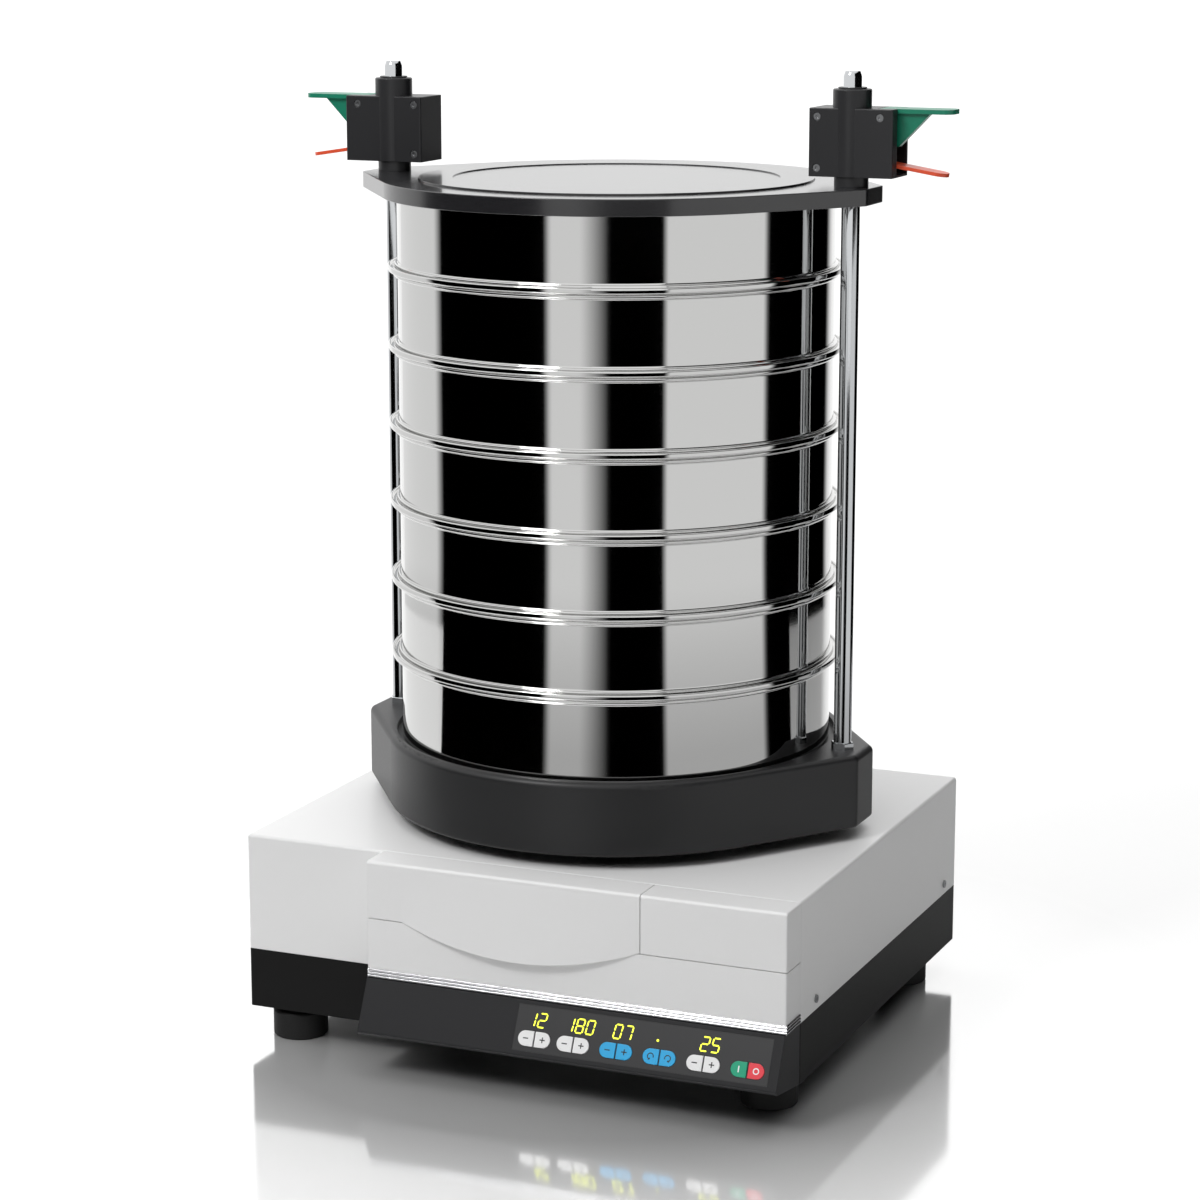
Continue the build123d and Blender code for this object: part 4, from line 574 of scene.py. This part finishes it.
def cardMaterial(name, stops, floorShare):
    # lit paper; stops are (degrees from the viewer about the stack, light)
    material = bpy.data.materials.new(name)
    material.use_nodes = True
    tree = material.node_tree
    tree.nodes.clear()
    coords = addNode(tree, "ShaderNodeTexCoord", (-1300, 0))
    mapping = addNode(tree, "ShaderNodeMapping", (-1100, 0), {"Vector": coords.outputs["Object"]},
                      vector_type="TEXTURE")
    mapping.inputs["Location"].default_value = (stackCentre[0] * mm, stackCentre[1] * mm, 0)
    mapping.inputs["Rotation"].default_value = (0, 0, math.radians(studio["viewAzimuth"]))
    turn = addNode(tree, "ShaderNodeTexGradient", (-900, 0), {"Vector": mapping.outputs["Vector"]},
                   gradient_type="RADIAL")
    ramp = addNode(tree, "ShaderNodeValToRGB", (-700, 0), {"Fac": turn.outputs["Fac"]})
    for index, (angle, light) in enumerate(stops):
        place = 0.5 + angle / 360
        stop = ramp.color_ramp.elements[index] if index < 2 else ramp.color_ramp.elements.new(place)
        stop.position = place
        stop.color = (light, light, light, 1)
    # the part near the object is lit less
    reach = addNode(tree, "ShaderNodeVectorMath", (-900, -300), {0: mapping.outputs["Vector"]},
                    operation="LENGTH")
    strength = addNode(tree, "ShaderNodeMapRange", (-700, -300), {"Value": reach.outputs["Value"]})
    for key, value in zip(("From Min", "From Max", "To Min", "To Max"),
                          studio["paperReach"] + (floorShare, 1.0)):
        strength.inputs[key].default_value = value
    glow = addNode(tree, "ShaderNodeEmission", (-400, 0), {"Color": ramp.outputs["Color"],
                                                           "Strength": strength.outputs["Result"]})
    addNode(tree, "ShaderNodeOutputMaterial", (-200, 0), {"Surface": glow.outputs["Emission"]})
    return material


def ringCard(name, start, stop, inner, outer, height, material, glossy=True, diffuse=True):
    # an upright curved card, with a lying part before it where inner is given
    steps, lift = studio["cardSteps"], studio["cardLift"]
    turns = [math.radians(studio["viewAzimuth"] + start + (stop - start) * k / steps)
             for k in range(steps + 1)]
    cx, cy = (c * mm for c in stackCentre)
    far, near = ([(cx + r * math.cos(t), cy + r * math.sin(t)) for t in turns]
                 for r in (outer, inner or outer))
    plates = []
    if inner:
        lying = [(x, y, lift) for x, y in near + far[::-1]]
        plates.append(stagePlate(name + "Lying", lying, material))
    for k in range(steps):
        (ax, ay), (bx, by) = far[k], far[k + 1]
        corners = [(ax, ay, 0), (bx, by, 0), (bx, by, height), (ax, ay, height)]
        plates.append(stagePlate(f"{name}Standing{k + 1}", corners, material))
    for plate in plates:
        plate.visible_camera = False
        plate.visible_glossy = glossy
        plate.visible_diffuse = diffuse
        plate.visible_shadow = diffuse


# paper ring outside the picture with three black cards, which the polished walls show as bands:
# start, stop and the soft edges before and after, in degrees from the viewer
blackCards = ((-100, -36, 6, 3), (-4, 23, 14, 2), (82, 139, 3, 8))
ringStops = []
for start, stop, before, after in blackCards:
    ringStops += [(start - before, 1.0), (start, 0.0), (stop, 0.0), (stop + after, 1.0)]
ringPaper = cardMaterial("StudioCardLit", ringStops, 0.6)
# name, start and stop in degrees, inner radius and height in metres
ringParts = (("ringLeft", -150, -100, 1.9, 1.0), ("ringFront", -100, -12, 0.95, 1.0),
             ("ringMiddle", -12, 24, 0.95, 0.7), ("ringRight", 24, 100, 0.95, 1.0),
             ("ringBack", 100, 150, 1.9, 1.0))
for name, start, stop, inner, height in ringParts:
    ringCard(name, start, stop, inner, 2.5, height, ringPaper, diffuse=False)
# black cloth that keeps light from the right side, and a lower one that only dims the front
clothBlack = makeMaterial("StudioClothBlack", "050505", 0, 0.9, specular=0.0)
ringCard("rightCloth", 24, 150, None, 2.55, 3.0, clothBlack)
ringCard("frontCloth", -100, 24, None, 2.55, 1.6, clothBlack, glossy=False)

world = bpy.data.worlds.new("studioWorld")
world.use_nodes = True
world.node_tree.nodes["Background"].inputs["Color"].default_value = (1, 1, 1, 1)
world.node_tree.nodes["Background"].inputs["Strength"].default_value = studio["world"]
bpy.context.scene.world = world


def softBox(name, spot, target, size, power, glossy):
    # an area lamp; glossy says whether metal shows it
    light = bpy.data.lights.new(name, "AREA")
    light.shape = "RECTANGLE"
    light.size, light.size_y = size
    light.energy = power
    lamp = bpy.data.objects.new(name, light)
    lamp.location = spot
    lamp.rotation_euler = (Vector(target) - Vector(spot)).to_track_quat("-Z", "Y").to_euler()
    lamp.visible_glossy = glossy
    bpy.context.scene.collection.objects.link(lamp)


softBox("keyBox", (-1.1, -2.5, 3.0), (0, 0, 0.3), (1.0, 1.0), studio["keyPower"], True)
softBox("topBox", (0.2, 0.4, 3.2), (0, 0, 0.4), (2.4, 2.4), studio["topPower"], False)

cameraSettings = {"lens": 99.73, "sensor": 36.0, "clip": 60, "place": (1.1839, -2.7715, 1.0428),
                  "pitch": 12.07, "turn": 23.15}
camera = bpy.data.cameras.new("photoCamera")
camera.lens = cameraSettings["lens"]
camera.sensor_width = cameraSettings["sensor"]
camera.clip_end = cameraSettings["clip"]
viewer = bpy.data.objects.new("photoCamera", camera)
viewer.location = cameraSettings["place"]
viewer.rotation_euler = Euler((math.radians(90 - cameraSettings["pitch"]), 0,
                               math.radians(cameraSettings["turn"])))
bpy.context.scene.collection.objects.link(viewer)
bpy.context.scene.camera = viewer
bpy.context.scene.view_settings.view_transform = "Standard"
print("stage: studio and camera")
